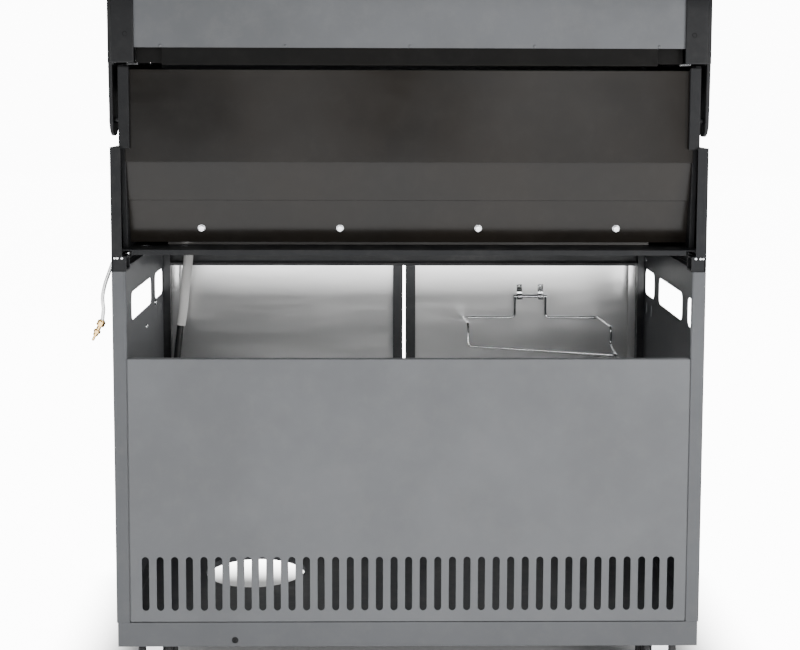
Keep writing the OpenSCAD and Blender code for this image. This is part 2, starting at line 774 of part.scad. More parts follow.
function hood_points(o, rear_low, front_low) = concat(
    [[hood_rear + o, rear_low]],
    arc(hood_rear - hood_rear_r, hood_top - hood_rear_r, hood_rear_r + o, 0, 90, 14),
    arc(hood_front + hood_front_r, hood_top - hood_front_r, hood_front_r + o, 90, 180, 14),
    [[hood_front - o, front_low]]);

module hood_skin() color("#7b7d80") {
    x = cap_x - 0.05;
    difference() {
        along_x(-x, x)
            difference() {
                polygon(hood_points(-0.05, skin_low, hood_low));
                polygon(hood_points(-0.05 - sheet, skin_low - 1, hood_low - 1));
            }
        barrel_y(0, dial_z, 4, hood_front - 2, hood_front + 4);
        for (s = [-1, 1])
            barrel_y(s * cap_hole_x, cap_low + 43, 2.2, hood_rear - 3, hood_rear + 1);
    }
    // Stiffening return along the front edge
    block([-x, x], [hood_front + 0.05, hood_front + 6], [hood_low, hood_low + sheet]);
}

module hood_band() color("#161617") {
    x = half_w - 78;
    y = hood_rear - sheet - 0.1;
    block([-x, x], [y - sheet, y], [box_top + 7, skin_low + 40]);
    block([-x, x], [y - 16, y], [box_top + 7, box_top + 7 + sheet]);
    // Recessed end plates that close the gap to the end caps
    for (s = [-1, 1])
        handed(s) {
            block([x - sheet, x + 40], [y - 10 - sheet, y - 10], [box_top + 10, skin_low + 40]);
            block([x - sheet, x], [y - 10, y], [box_top + 10, skin_low + 40]);
        }
}

module hood_cap(side) color("#1e1f20") handed(side)
    difference() {
        union() {
            // Side wall with the hinge lug at its lower rear corner
            along_x(cap_x, cap_x + cap_t)
                polygon(concat(
                    [[hood_rear + rim_t - 2, cap_low]],
                    hood_points(rim_t, cap_low, hood_low),
                    [[hood_front - rim_t, hood_low], [pivot_y - 40, hood_low], [pivot_y - 24, hood_low - 16]],
                    arc(pivot_y, pivot_z, 24, 180, 360, 12)));
            // Rim over the skin's edge
            along_x(cap_x - cap_rim, cap_x + 1)
                difference() {
                    polygon(hood_points(rim_t, cap_low, hood_low));
                    polygon(hood_points(0, cap_low - 1, hood_low - 1));
                }
            // Handle arm
            along_x(cap_x - 26, cap_x + cap_t)
                polygon(concat(
                    [[hood_front - rim_t + 1, handle_z + 34]],
                    arc(handle_y, handle_z, handle_r + 6, 90, 270, 12),
                    [[hood_front - rim_t + 1, handle_z - 34]]));
        }
        barrel_x(pivot_y, pivot_z, hood_pin_r + fit, cap_x - 1, cap_x + cap_t + 1);
        barrel_x(handle_y, handle_z, handle_r, cap_x - 27, cap_x - 6);
        barrel_y(cap_hole_x, cap_low + 43, 3, hood_rear - 2, hood_rear + rim_t + 1);
    }

module hood_handle() color("#cfd1d3")
    difference() {
        barrel_x(handle_y, handle_z, handle_r, -cap_x + 6, cap_x - 6);
        barrel_x(handle_y, handle_z, handle_r - 1.5, -cap_x + 5, cap_x - 5);
    }

module thermometer() color("#d8dadc") {
    translate([0, hood_front - 0.1, dial_z])
        rotate([90, 0, 0])
            rotate_extrude($fn = 72)
                polygon([[0, 0], [40, 0], [40, 3], [38, 7], [34, 8], [33, 5], [0, 5]]);
    barrel_y(0, dial_z, 3, hood_front - 1, hood_front + 70);
}

module hose_sleeve() color("#e6e4de")
    sweep(spline([for (i = [0 : sleeve_points - 1]) hose_path[i]], 2), sleeve_r, [1, 1, 0]);

module gas_hose() color("#1f1f20")
    sweep(spline([for (i = [sleeve_points - 1 : len(hose_path) - 1]) hose_path[i]], 2), hose_r, [1, 1, 0]);

module regulator() color("#8d9093") {
    e = hose_path[len(hose_path) - 1];
    rod([e.x - 24, e.y, e.z], e, 9);
    translate([e.x - 52, e.y, floor_z + 0.1])
        rotate_extrude($fn = 64)
            polygon([[0, 0], [26, 0], [31, 6], [31, 16], [24, 20], [20, 27], [0, 29]]);
    // Bottle nut with finger ridges
    rod([e.x - 82, e.y, e.z + 9], [e.x - 74, e.y, e.z + 9], 8);
    translate([e.x - 82, e.y, e.z + 9])
        rotate([0, -90, 0])
            difference() {
                cylinder(h = 30, r = 15.5);
                translate([0, 0, 8])
                    cylinder(h = 23, r = 11);
            }
}

module burner_pipe() color("#a4a6a8")
    sweep(spline(pipe_path, 2), pipe_r, [0, 1, 0], 8);

module pipe_orifice() color("#b98a3a") {
    e = pipe_path[len(pipe_path) - 1];
    d = unit([4, 0, -8]);
    rod(e + d * 1.2, e + d * 11, 6);
    rod(e + d * 11, e + d * 17, 4);
    rod(e + d * 17, e + d * 26, 5.2);
    rod(e + d * 26, e + d * 36, 2.4);
}

base_panel();
side_panel(-1);  // side_panel_left
side_panel(1);  // side_panel_right
back_panel();
front_frame();
screws();
caster_plates();
caster_body(1);  // caster_body_1
caster_body(2);  // caster_body_2
caster_body(3);  // caster_body_3
caster_body(4);  // caster_body_4
caster_wheels(1);  // caster_wheels_1
caster_wheels(2);  // caster_wheels_2
caster_wheels(3);  // caster_wheels_3
caster_wheels(4);  // caster_wheels_4
door(-1);  // door_left
door(1);  // door_right
door_trim(-1);  // door_trim_left
door_trim(1);  // door_trim_right
hinge_pins();
holder_clips();
wire_holder();
firebox_rear();
firebox_front();
firebox_end(-1);  // firebox_end_left
firebox_end(1);  // firebox_end_right
side_casing(-1);  // side_casing_left
side_casing(1);  // side_casing_right
foot_brackets();
heat_shield();
drip_tray();
burners();
flame_tamers();
cooking_grates();
warming_rack();
control_panel();
knob_bezels();
valve_stem(1);  // valve_stem_1
valve_stem(2);  // valve_stem_2
valve_stem(3);  // valve_stem_3
valve_stem(4);  // valve_stem_4
valve_stem(5);  // valve_stem_5
knob(1);  // knob_1
knob(2);  // knob_2
knob(3);  // knob_3
knob(4);  // knob_4
knob(5);  // knob_5
manifold();
gas_valves();
hood_skin();
hood_band();
hood_cap(-1);  // hood_cap_left
hood_cap(1);  // hood_cap_right
hood_handle();
thermometer();
gas_hose();
hose_sleeve();
regulator();
burner_pipe();
pipe_orifice();
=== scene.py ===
import math

import bmesh
import bpy
import numpy as np
from mathutils import Matrix, Vector


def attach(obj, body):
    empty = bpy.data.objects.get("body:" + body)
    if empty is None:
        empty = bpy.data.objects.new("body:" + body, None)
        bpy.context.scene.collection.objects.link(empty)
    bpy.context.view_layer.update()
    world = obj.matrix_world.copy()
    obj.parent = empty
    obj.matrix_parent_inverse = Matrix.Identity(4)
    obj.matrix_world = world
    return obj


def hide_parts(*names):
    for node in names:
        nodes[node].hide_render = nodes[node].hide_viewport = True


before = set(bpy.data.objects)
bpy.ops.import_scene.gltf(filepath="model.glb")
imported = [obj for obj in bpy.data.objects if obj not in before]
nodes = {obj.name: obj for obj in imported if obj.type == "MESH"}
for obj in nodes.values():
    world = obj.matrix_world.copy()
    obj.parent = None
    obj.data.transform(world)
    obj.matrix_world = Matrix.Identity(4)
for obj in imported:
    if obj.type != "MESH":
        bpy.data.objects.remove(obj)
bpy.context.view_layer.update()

print("barbecue: frame loaded,", len(nodes), "nodes")

# ---- camera, behind the grill at hood height, looking a little down ----

cameraSettings = {
    "place": (0.0418, 2.3666, 0.935),
    "yaw": 0.741,        # degrees to the side
    "pitch": 5.060,      # degrees down
    "roll": -0.156,
    "lens": 62.6,
    "shiftY": -0.137,
}


def addCamera(s):
    yaw, pitch, roll = (math.radians(s[k]) for k in ("yaw", "pitch", "roll"))
    ahead = Vector((-math.cos(pitch) * math.sin(yaw), -math.cos(pitch) * math.cos(yaw), -math.sin(pitch)))
    side = Vector((-math.cos(yaw), math.sin(yaw), 0))
    above = Vector((-math.sin(pitch) * math.sin(yaw), -math.sin(pitch) * math.cos(yaw), math.cos(pitch)))
    right = side * math.cos(roll) - above * math.sin(roll)
    up = side * math.sin(roll) + above * math.cos(roll)
    data = bpy.data.cameras.new("camera")
    data.lens = s["lens"]
    data.sensor_fit = "HORIZONTAL"
    data.sensor_width = 36
    data.shift_y = s["shiftY"]
    data.clip_end = 60
    obj = bpy.data.objects.new("camera", data)
    bpy.context.scene.collection.objects.link(obj)
    obj.matrix_world = Matrix.Translation(s["place"]) @ Matrix((right, up, -ahead)).transposed().to_4x4()
    bpy.context.scene.camera = obj


addCamera(cameraSettings)

# ---- shapes: every new piece is a grid of points worked out as one array ----


def unit(v):
    return v / np.maximum(np.linalg.norm(v, axis=-1, keepdims=True), 1e-12)


def gridShape(points):
    """Joins each point (row, col) to (row + 1, col) and (row, col + 1) as quads; the last col meets the first."""
    rows, cols = points.shape[:2]
    index = np.arange(rows * cols).reshape(rows, cols)
    here, down = index[:-1], index[1:]
    quads = np.stack([here, np.roll(here, -1, 1), np.roll(down, -1, 1), down], -1)
    u = np.broadcast_to(np.linspace(0, 1, cols, endpoint=False)[None, :], (rows, cols))
    v = np.broadcast_to(np.linspace(0, 1, rows)[:, None], (rows, cols))
    return points.reshape(-1, 3), quads.reshape(-1, 4), np.stack([u, v], -1).reshape(-1, 2)


def together(shapes):
    """Stacks shapes into one, with each face list moved on by the points before it."""
    counts = np.cumsum([0] + [len(s[0]) for s in shapes[:-1]])
    return (np.concatenate([s[0] for s in shapes]),
            np.concatenate([s[1] + c for s, c in zip(shapes, counts)]),
            np.concatenate([s[2] for s in shapes]))


def copiesAt(shape, places):
    """The shape set down at each place: points = shape + place."""
    return together([(shape[0] + np.asarray(p), shape[1], shape[2]) for p in places])


def turned(shape, matrix):
    """The shape through a 3 x 3 turn: point = matrix . point."""
    return shape[0] @ np.asarray(matrix, float).T, shape[1], shape[2]


def mirroredY(shape):
    return shape[0] * np.array([1, -1, 1]), shape[1], shape[2]


def smoothPath(points, steps):
    """Catmull-Rom: between p1 and p2 the point is half of the cubic in t through p0, p1, p2 and p3."""
    p = np.asarray(points, float)
    before, after = np.vstack([p[:1], p[:-2]]), np.vstack([p[2:], p[-1:]])
    t = np.linspace(0, 1, steps, endpoint=False)[None, :, None]
    a, b, c, d = before[:, None], p[:-1, None], p[1:, None], after[:, None]
    curve = 0.5 * (2 * b + (c - a) * t + (2 * a - 5 * b + 4 * c - d) * t ** 2 + (3 * b - 3 * c + d - a) * t ** 3)
    return np.vstack([curve.reshape(-1, 3), p[-1:]])


def bentPath(corners, bend, steps=8):
    """Straight runs joined by arcs: at each corner the point is (1-t)^2 a + 2 t (1-t) corner + t^2 b."""
    p = np.asarray(corners, float)
    toPrev, toNext = unit(p[:-2] - p[1:-1]), unit(p[2:] - p[1:-1])
    reach = np.minimum(bend, 0.45 * np.minimum(np.linalg.norm(p[:-2] - p[1:-1], axis=1),
                                               np.linalg.norm(p[2:] - p[1:-1], axis=1)))[:, None]
    a, b, t = p[1:-1] + toPrev * reach, p[1:-1] + toNext * reach, np.linspace(0, 1, steps)[None, :, None]
    arcs = (1 - t) ** 2 * a[:, None] + 2 * t * (1 - t) * p[1:-1][:, None] + t ** 2 * b[:, None]
    return np.vstack([p[:1], arcs.reshape(-1, 3), p[-1:]])


def tubeShape(path, radius, sides=16, up=(0.31, 0.57, 0.76)):
    """A round closed tube: point = path(i) + r(i) (cos a . side + sin a . over), side square to path and up."""
    path = np.asarray(path, float)
    along = unit(np.gradient(path, axis=0))
    side = unit(np.cross(along, np.asarray(up, float)))
    over = np.cross(along, side)
    radius = np.concatenate([[0], np.broadcast_to(np.asarray(radius, float), len(path)), [0]])
    path, side, over = (np.vstack([v[:1], v, v[-1:]]) for v in (path, side, over))
    a = np.linspace(0, 2 * np.pi, sides, endpoint=False)[None, :, None]
    ring = np.cos(a) * side[:, None] + np.sin(a) * over[:, None]
    return gridShape(path[:, None] + radius[:, None, None] * ring)


def revolved(profile, place, axis="z", sides=48, lobes=0, depth=0.0):
    """Profile (r, h) goes round as (r cos a, r sin a, h), less depth at each lobe, and is laid along the axis."""
    profile = np.asarray(profile, float)
    a = np.linspace(0, 2 * np.pi, sides, endpoint=False)[None, :]
    r = profile[:, :1] * (1 - depth * (0.5 + 0.5 * np.cos(lobes * a))) if lobes else profile[:, :1] + 0 * a
    x, y, z = r * np.cos(a), r * np.sin(a), profile[:, 1:] + 0 * a
    order = {"z": (x, y, z), "-y": (x, -z, y), "x": (z, x, y), "-x": (-z, y, x)}[axis]
    return gridShape(np.stack(order, -1) + np.asarray(place, float))


def hexShape(acrossFlats, bottom, top, place=(0, 0, 0)):
    """A nut: radius = half the flats over the cosine of the angle from the nearest flat, corners eased."""
    a = np.linspace(0, 2 * np.pi, 48, endpoint=False)[None, :]
    flat = (acrossFlats / 2) / np.cos((a + np.pi / 6) % (np.pi / 3) - np.pi / 6)
    ease = acrossFlats * 0.06
    rows = np.array([[0, bottom], [0.86, bottom], [1, bottom + ease], [1, top - ease], [0.86, top], [0, top]])
    r = rows[:, :1] * np.minimum(flat, acrossFlats * 0.56)
    points = np.stack([r * np.cos(a), r * np.sin(a), rows[:, 1:] + 0 * a], -1)
    return gridShape(points + np.asarray(place, float))


def arcPoints(centre, radius, start, end, steps):
    """Points of a circle in the (y, z) plane: centre + r (cos a, sin a)."""
    a = np.radians(np.linspace(start, end, steps))
    return np.stack([centre[0] + radius * np.cos(a), centre[1] + radius * np.sin(a)], -1)


def makePiece(name, shape, material, body, smooth=35):
    """Puts the arrays in a mesh, closes seams and poles, and points the faces outwards."""
    points, quads, uvs = shape
    mesh = bpy.data.meshes.new(name)
    mesh.vertices.add(len(points))
    mesh.vertices.foreach_set("co", points.astype(np.float32).ravel())
    mesh.loops.add(quads.size)
    mesh.loops.foreach_set("vertex_index", quads.astype(np.int32).ravel())
    mesh.polygons.add(len(quads))
    mesh.polygons.foreach_set("loop_start", np.arange(0, quads.size, 4, dtype=np.int32))
    mesh.update(calc_edges=True)
    layer = mesh.uv_layers.new(name="UVMap")
    corner = uvs[quads].copy()
    wide = corner[..., 0].max(1) - corner[..., 0].min(1) > 0.6
    corner[..., 0] = np.where(wide[:, None] & (corner[..., 0] < 0.3), corner[..., 0] + 1, corner[..., 0])
    layer.data.foreach_set("uv", corner.astype(np.float32).ravel())
    finishMesh(mesh)
    return placePiece(name, mesh, material, body, smooth)


def slabPiece(name, outline, x0, x1, material, body, slot, bevel=0.001, smooth=35):
    """A plate: the (y, z) outline carried straight along X from x0 to x1, its rim rounded by a bevel."""
    outline = np.asarray(outline, float)
    n = len(outline)
    ends = [np.column_stack([np.full(n, x), outline]) for x in (x0, x1)]
    around = np.arange(n)
    sides = np.stack([around, np.roll(around, -1), np.roll(around, -1) + n, around + n], -1)
    mesh = bpy.data.meshes.new(name)
    lids = [around[::-1].tolist(), (around + n).tolist()]
    mesh.from_pydata(np.vstack(ends).tolist(), [], sides.tolist() + lids)
    finishMesh(mesh)
    obj = placePiece(name, mesh, material, body, smooth)
    if bevel:
        edge = obj.modifiers.new("edge", "BEVEL")
        edge.width, edge.segments, edge.limit_method, edge.angle_limit = bevel, 3, "ANGLE", math.radians(32)
    return obj


def finishMesh(mesh):
    work = bmesh.new()
    work.from_mesh(mesh)
    bmesh.ops.remove_doubles(work, verts=work.verts, dist=2e-6)
    bmesh.ops.dissolve_degenerate(work, edges=work.edges, dist=1e-7)
    bmesh.ops.recalc_face_normals(work, faces=work.faces)
    work.to_mesh(mesh)
    work.free()


def placePiece(name, mesh, material, body, smooth):
    obj = bpy.data.objects.new(name, mesh)
    bpy.context.scene.collection.objects.link(obj)
    mesh.materials.append(material)
    mesh.polygons.foreach_set("use_smooth", np.ones(len(mesh.polygons), bool))
    mesh.set_sharp_from_angle(angle=math.radians(smooth))
    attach(obj, body)
    return obj


# ---- node groups shared by the finishes ----


def newGroup(name, inputs, outputs):
    group = bpy.data.node_groups.new(name, "ShaderNodeTree")
    for label, kind, value in inputs:
        socket = group.interface.new_socket(label, in_out="INPUT", socket_type=kind)
        if value is not None:
            socket.default_value = value
    for label, kind in outputs:
        group.interface.new_socket(label, in_out="OUTPUT", socket_type=kind)
    return group, group.nodes.new("NodeGroupInput"), group.nodes.new("NodeGroupOutput")


def mathNode(tree, operation, a, b=None, clamp=False):
    node = tree.nodes.new("ShaderNodeMath")
    node.operation, node.use_clamp = operation, clamp
    for socket, value in zip(node.inputs, (a, b)):
        if value is None:
            continue
        if isinstance(value, (int, float)):
            socket.default_value = value
        else:
            tree.links.new(value, socket)
    return node.outputs[0]


def remap(tree, value, low, high, toLow=0.0, toHigh=1.0):
    node = tree.nodes.new("ShaderNodeMapRange")
    node.interpolation_type = "SMOOTHSTEP"
    tree.links.new(value, node.inputs["Value"])
    for label, number in (("From Min", low), ("From Max", high), ("To Min", toLow), ("To Max", toHigh)):
        node.inputs[label].default_value = number
    return node.outputs["Result"]


def noiseNode(tree, vector, scale, detail=2.0, roughness=0.5):
    node = tree.nodes.new("ShaderNodeTexNoise")
    node.inputs["Detail"].default_value = detail
    node.inputs["Roughness"].default_value = roughness
    tree.links.new(vector, node.inputs["Vector"])
    if isinstance(scale, (int, float)):
        node.inputs["Scale"].default_value = scale
    else:
        tree.links.new(scale, node.inputs["Scale"])
    return node.outputs["Fac"]


def buildEdgeWear():
    """Mask of the corners: one less the dot of the face's normal and the normal rounded over Radius."""
    tree, source, result = newGroup("edgeWear",
                                    [("Radius", "NodeSocketFloat", 0.001), ("Amount", "NodeSocketFloat", 0.5)],
                                    [("Mask", "NodeSocketFloat"), ("Normal", "NodeSocketVector")])
    rounded = tree.nodes.new("ShaderNodeBevel")
    rounded.samples = 4
    tree.links.new(source.outputs["Radius"], rounded.inputs["Radius"])
    face = tree.nodes.new("ShaderNodeNewGeometry")
    dot = tree.nodes.new("ShaderNodeVectorMath")
    dot.operation = "DOT_PRODUCT"
    tree.links.new(rounded.outputs[0], dot.inputs[0])
    tree.links.new(face.outputs["Normal"], dot.inputs[1])
    corner = remap(tree, mathNode(tree, "SUBTRACT", 1.0, dot.outputs["Value"]), 0.02, 0.25)
    broken = noiseNode(tree, face.outputs["Position"], 60.0, 3.0)
    mask = mathNode(tree, "MULTIPLY", corner, remap(tree, broken, 0.35, 0.65))
    tree.links.new(mathNode(tree, "MULTIPLY", mask, source.outputs["Amount"]), result.inputs["Mask"])
    tree.links.new(rounded.outputs[0], result.inputs["Normal"])
    return tree


def buildPaintGrain():
    """Orange peel and slow tone changes of sprayed paint: two noises on the object's own place."""
    tree, source, result = newGroup("paintGrain",
                                    [("Vector", "NodeSocketVector", None), ("Peel", "NodeSocketFloat", 900.0)],
                                    [("Height", "NodeSocketFloat"), ("Tone", "NodeSocketFloat")])
    peel = noiseNode(tree, source.outputs["Vector"], source.outputs["Peel"], 2.0, 0.6)
    slow = noiseNode(tree, source.outputs["Vector"], 5.0, 4.0, 0.55)
    tree.links.new(peel, result.inputs["Height"])
    tree.links.new(remap(tree, slow, 0.3, 0.7), result.inputs["Tone"])
    return tree


def buildBrushLines():
    """Brushing: noise squeezed across the brushing direction, so it draws out into long hairlines."""
    tree, source, result = newGroup("brushLines", [("Vector", "NodeSocketVector", None),
                                                   ("Squeeze", "NodeSocketVector", (1.5, 900.0, 900.0))],
                                    [("Line", "NodeSocketFloat"), ("Cloud", "NodeSocketFloat")])
    scaled = tree.nodes.new("ShaderNodeVectorMath")
    scaled.operation = "MULTIPLY"
    tree.links.new(source.outputs["Vector"], scaled.inputs[0])
    tree.links.new(source.outputs["Squeeze"], scaled.inputs[1])
    tree.links.new(noiseNode(tree, scaled.outputs[0], 1.0, 2.0, 0.7), result.inputs["Line"])
    cloud = noiseNode(tree, source.outputs["Vector"], 7.0, 3.0)
    tree.links.new(remap(tree, cloud, 0.3, 0.7), result.inputs["Cloud"])
    return tree


def buildDustFilm():
    """Dust: more on faces that look up, broken by noise."""
    tree, source, result = newGroup("dustFilm",
                                    [("Vector", "NodeSocketVector", None), ("Amount", "NodeSocketFloat", 0.2)],
                                    [("Mask", "NodeSocketFloat")])
    face = tree.nodes.new("ShaderNodeNewGeometry")
    split = tree.nodes.new("ShaderNodeSeparateXYZ")
    tree.links.new(face.outputs["Normal"], split.inputs[0])
    up = remap(tree, split.outputs["Z"], 0.1, 1.0, 0.25, 1.0)
    speck = remap(tree, noiseNode(tree, source.outputs["Vector"], 35.0, 6.0, 0.7), 0.42, 0.75)
    both = mathNode(tree, "MULTIPLY", up, speck)
    tree.links.new(mathNode(tree, "MULTIPLY", both, source.outputs["Amount"]), result.inputs["Mask"])
    return tree


def buildSoftDents():
    """Thin sheet: slow noise for its waves, and finer noise drawn out level for wipe marks."""
    tree, source, result = newGroup("softDents",
                                    [("Vector", "NodeSocketVector", None), ("Size", "NodeSocketFloat", 5.0)],
                                    [("Height", "NodeSocketFloat"), ("Smear", "NodeSocketFloat")])
    waves = noiseNode(tree, source.outputs["Vector"], source.outputs["Size"], 1.0, 0.4)
    streak = tree.nodes.new("ShaderNodeVectorMath")
    streak.operation = "MULTIPLY"
    streak.inputs[1].default_value = (1.0, 1.0, 6.0)
    tree.links.new(source.outputs["Vector"], streak.inputs[0])
    tree.links.new(waves, result.inputs["Height"])
    wipes = noiseNode(tree, streak.outputs[0], 9.0, 5.0, 0.65)
    tree.links.new(remap(tree, wipes, 0.35, 0.75), result.inputs["Smear"])
    return tree


edgeWear, paintGrain, brushLines = buildEdgeWear(), buildPaintGrain(), buildBrushLines()
dustFilm, softDents = buildDustFilm(), buildSoftDents()


def useGroup(tree, group, **values):
    node = tree.nodes.new("ShaderNodeGroup")
    node.node_tree = group
    for label, value in values.items():
        if isinstance(value, bpy.types.NodeSocket):
            tree.links.new(value, node.inputs[label])
        else:
            node.inputs[label].default_value = value
    return node.outputs


def mixColour(tree, factor, a, b):
    node = tree.nodes.new("ShaderNodeMix")
    node.data_type = "RGBA"
    tree.links.new(factor, node.inputs["Factor"])
    for socket, value in ((node.inputs[6], a), (node.inputs[7], b)):
        if isinstance(value, bpy.types.NodeSocket):
            tree.links.new(value, socket)
        else:
            socket.default_value = (*value, 1)
    return node.outputs[2]


def startMaterial(name):
    material = bpy.data.materials.new(name)
    material.use_nodes = True
    tree = material.node_tree
    shader = tree.nodes["Principled BSDF"]
    place = tree.nodes.new("ShaderNodeTexCoord").outputs["Object"]
    return material, tree, shader, place


def bumpInto(tree, shader, height, distance, normal=None, strength=1.0):
    bump = tree.nodes.new("ShaderNodeBump")
    bump.inputs["Strength"].default_value = strength
    bump.inputs["Distance"].default_value = distance
    tree.links.new(height, bump.inputs["Height"])
    if normal is not None:
        tree.links.new(normal, bump.inputs["Normal"])
    tree.links.new(bump.outputs["Normal"], shader.inputs["Normal"])
    return bump.outputs["Normal"]


# ---- finishes ----


def paintedSheet(name, colour, roughness, edge=(0.3, 0.3, 0.31), wear=0.25, peel=900.0, depth=0.00006, dust=0.25,
                 vary=0.12, radius=0.0012, dents=0.0, shine=0.5):
    """Powder coat: tone drifts slowly, corners wear paler, dust lies on top faces, orange peel in the bump."""
    material, tree, shader, place = startMaterial(name)
    grain = useGroup(tree, paintGrain, Vector=place, Peel=peel)
    worn = useGroup(tree, edgeWear, Radius=radius, Amount=wear)
    film = useGroup(tree, dustFilm, Vector=place, Amount=dust)
    dark, light = [c * (1 - vary) for c in colour], [c * (1 + vary) for c in colour]
    tone = mixColour(tree, grain["Tone"], dark, light)
    tone = mixColour(tree, worn["Mask"], tone, edge)
    tone = mixColour(tree, film["Mask"], tone, (0.32, 0.31, 0.29))
    tree.links.new(tone, shader.inputs["Base Color"])
    shader.inputs["Specular IOR Level"].default_value = shine
    matt = remap(tree, grain["Tone"], 0.0, 1.0, roughness - 0.05, roughness + 0.06)
    tree.links.new(mathNode(tree, "ADD", matt, mathNode(tree, "MULTIPLY", film["Mask"], 0.5), True),
                   shader.inputs["Roughness"])
    normal = worn["Normal"]
    if dents:
        sheetWave = useGroup(tree, softDents, Vector=place, Size=4.0)
        normal = bumpInto(tree, shader, sheetWave["Height"], dents, normal)
    bumpInto(tree, shader, grain["Height"], depth, normal)
    return material


def enamelledSheet(name, colour, roughness, shine=0.18, coat=0.05):
    """Glassy black enamel: a clear coat over the colour, with waves, wipe marks and burnt brown tints."""
    material, tree, shader, place = startMaterial(name)
    wave = useGroup(tree, softDents, Vector=place, Size=5.5)
    grain = useGroup(tree, paintGrain, Vector=place, Peel=500.0)
    worn = useGroup(tree, edgeWear, Radius=0.0016, Amount=0.16)
    film = useGroup(tree, dustFilm, Vector=place, Amount=0.1)
    tone = mixColour(tree, grain["Tone"], colour, [c * f for c, f in zip(colour, (1.5, 1.4, 1.3))])
    tone = mixColour(tree, worn["Mask"], tone, (0.14, 0.135, 0.13))
    tone = mixColour(tree, film["Mask"], tone, (0.12, 0.115, 0.11))
    tree.links.new(tone, shader.inputs["Base Color"])
    tree.links.new(remap(tree, wave["Smear"], 0.0, 1.0, roughness, roughness + 0.05), shader.inputs["Roughness"])
    shader.inputs["Coat Weight"].default_value = coat
    shader.inputs["Specular IOR Level"].default_value = shine
    shader.inputs["Coat Roughness"].default_value = 0.18
    normal = bumpInto(tree, shader, wave["Height"], 0.006, worn["Normal"], 0.6)
    bumpInto(tree, shader, grain["Height"], 0.00005, normal)
    return material


def castMetal(name, colour, roughness, depth=0.00025, radius=0.0025, shine=0.5):
    """Painted casting: pebbly skin and well-rounded corners."""
    material, tree, shader, place = startMaterial(name)
    grain = useGroup(tree, paintGrain, Vector=place, Peel=420.0)
    worn = useGroup(tree, edgeWear, Radius=radius, Amount=0.2)
    film = useGroup(tree, dustFilm, Vector=place, Amount=0.15)
    tone = mixColour(tree, grain["Tone"], [c * 0.85 for c in colour], [c * 1.2 for c in colour])
    tone = mixColour(tree, worn["Mask"], tone, (0.09, 0.09, 0.092))
    tone = mixColour(tree, film["Mask"], tone, (0.2, 0.195, 0.19))
    tree.links.new(tone, shader.inputs["Base Color"])
    shader.inputs["Specular IOR Level"].default_value = shine
    matt = remap(tree, grain["Height"], 0.2, 0.8, roughness - 0.07, roughness + 0.07)
    tree.links.new(matt, shader.inputs["Roughness"])
    bumpInto(tree, shader, grain["Height"], depth, worn["Normal"])
    return material


def brushedMetal(name, colour, roughness, squeeze=(1.5, 900.0, 900.0), lines=0.00002, smudge=0.1, radius=0.001):
    """Brushed sheet: hairlines in tone, gloss and bump, with cloudy smudges where hands have been."""
    material, tree, shader, place = startMaterial(name)
    brush = useGroup(tree, brushLines, Vector=place, Squeeze=squeeze)
    worn = useGroup(tree, edgeWear, Radius=radius, Amount=0.3)
    tone = mixColour(tree, brush["Line"], [c * 0.86 for c in colour], [min(1, c * 1.1) for c in colour])
    tone = mixColour(tree, mathNode(tree, "MULTIPLY", brush["Cloud"], 0.35), tone, [c * 0.8 for c in colour])
    tone = mixColour(tree, worn["Mask"], tone, [min(1, c * 1.25) for c in colour])
    tree.links.new(tone, shader.inputs["Base Color"])
    shader.inputs["Metallic"].default_value = 1
    streak = remap(tree, brush["Line"], 0.25, 0.75, roughness - 0.06, roughness + 0.08)
    tree.links.new(mathNode(tree, "ADD", streak, mathNode(tree, "MULTIPLY", brush["Cloud"], smudge), True),
                   shader.inputs["Roughness"])
    bumpInto(tree, shader, brush["Line"], lines, worn["Normal"])
    return material


def rolledSteel(name, colour, roughness):
    """Bright rolled sheet: soft clouds in its tone and gloss, without visible lines."""
    material, tree, shader, place = startMaterial(name)
    grain = useGroup(tree, paintGrain, Vector=place, Peel=300.0)
    smear = useGroup(tree, softDents, Vector=place, Size=5.0)
    worn = useGroup(tree, edgeWear, Radius=0.0008, Amount=0.1)
    tree.links.new(mixColour(tree, grain["Tone"], [c * 0.93 for c in colour], colour), shader.inputs["Base Color"])
    shader.inputs["Metallic"].default_value = 1
    tree.links.new(remap(tree, smear["Smear"], 0.0, 1.0, roughness, roughness + 0.05), shader.inputs["Roughness"])
    tree.links.new(worn["Normal"], shader.inputs["Normal"])
    return material


def platedMetal(name, colour, roughness, pits=0.00003, radius=0.0004):
    """Chrome or zinc plate: nearly smooth, with faint orange peel and duller clouds."""
    material, tree, shader, place = startMaterial(name)
    grain = useGroup(tree, paintGrain, Vector=place, Peel=700.0)
    worn = useGroup(tree, edgeWear, Radius=radius, Amount=0.1)
    tone = mixColour(tree, grain["Tone"], [c * 0.9 for c in colour], colour)
    tree.links.new(mixColour(tree, worn["Mask"], tone, [c * 0.75 for c in colour]), shader.inputs["Base Color"])
    shader.inputs["Metallic"].default_value = 1
    tree.links.new(remap(tree, grain["Tone"], 0.0, 1.0, roughness, roughness + 0.1), shader.inputs["Roughness"])
    bumpInto(tree, shader, grain["Height"], pits, worn["Normal"])
    return material


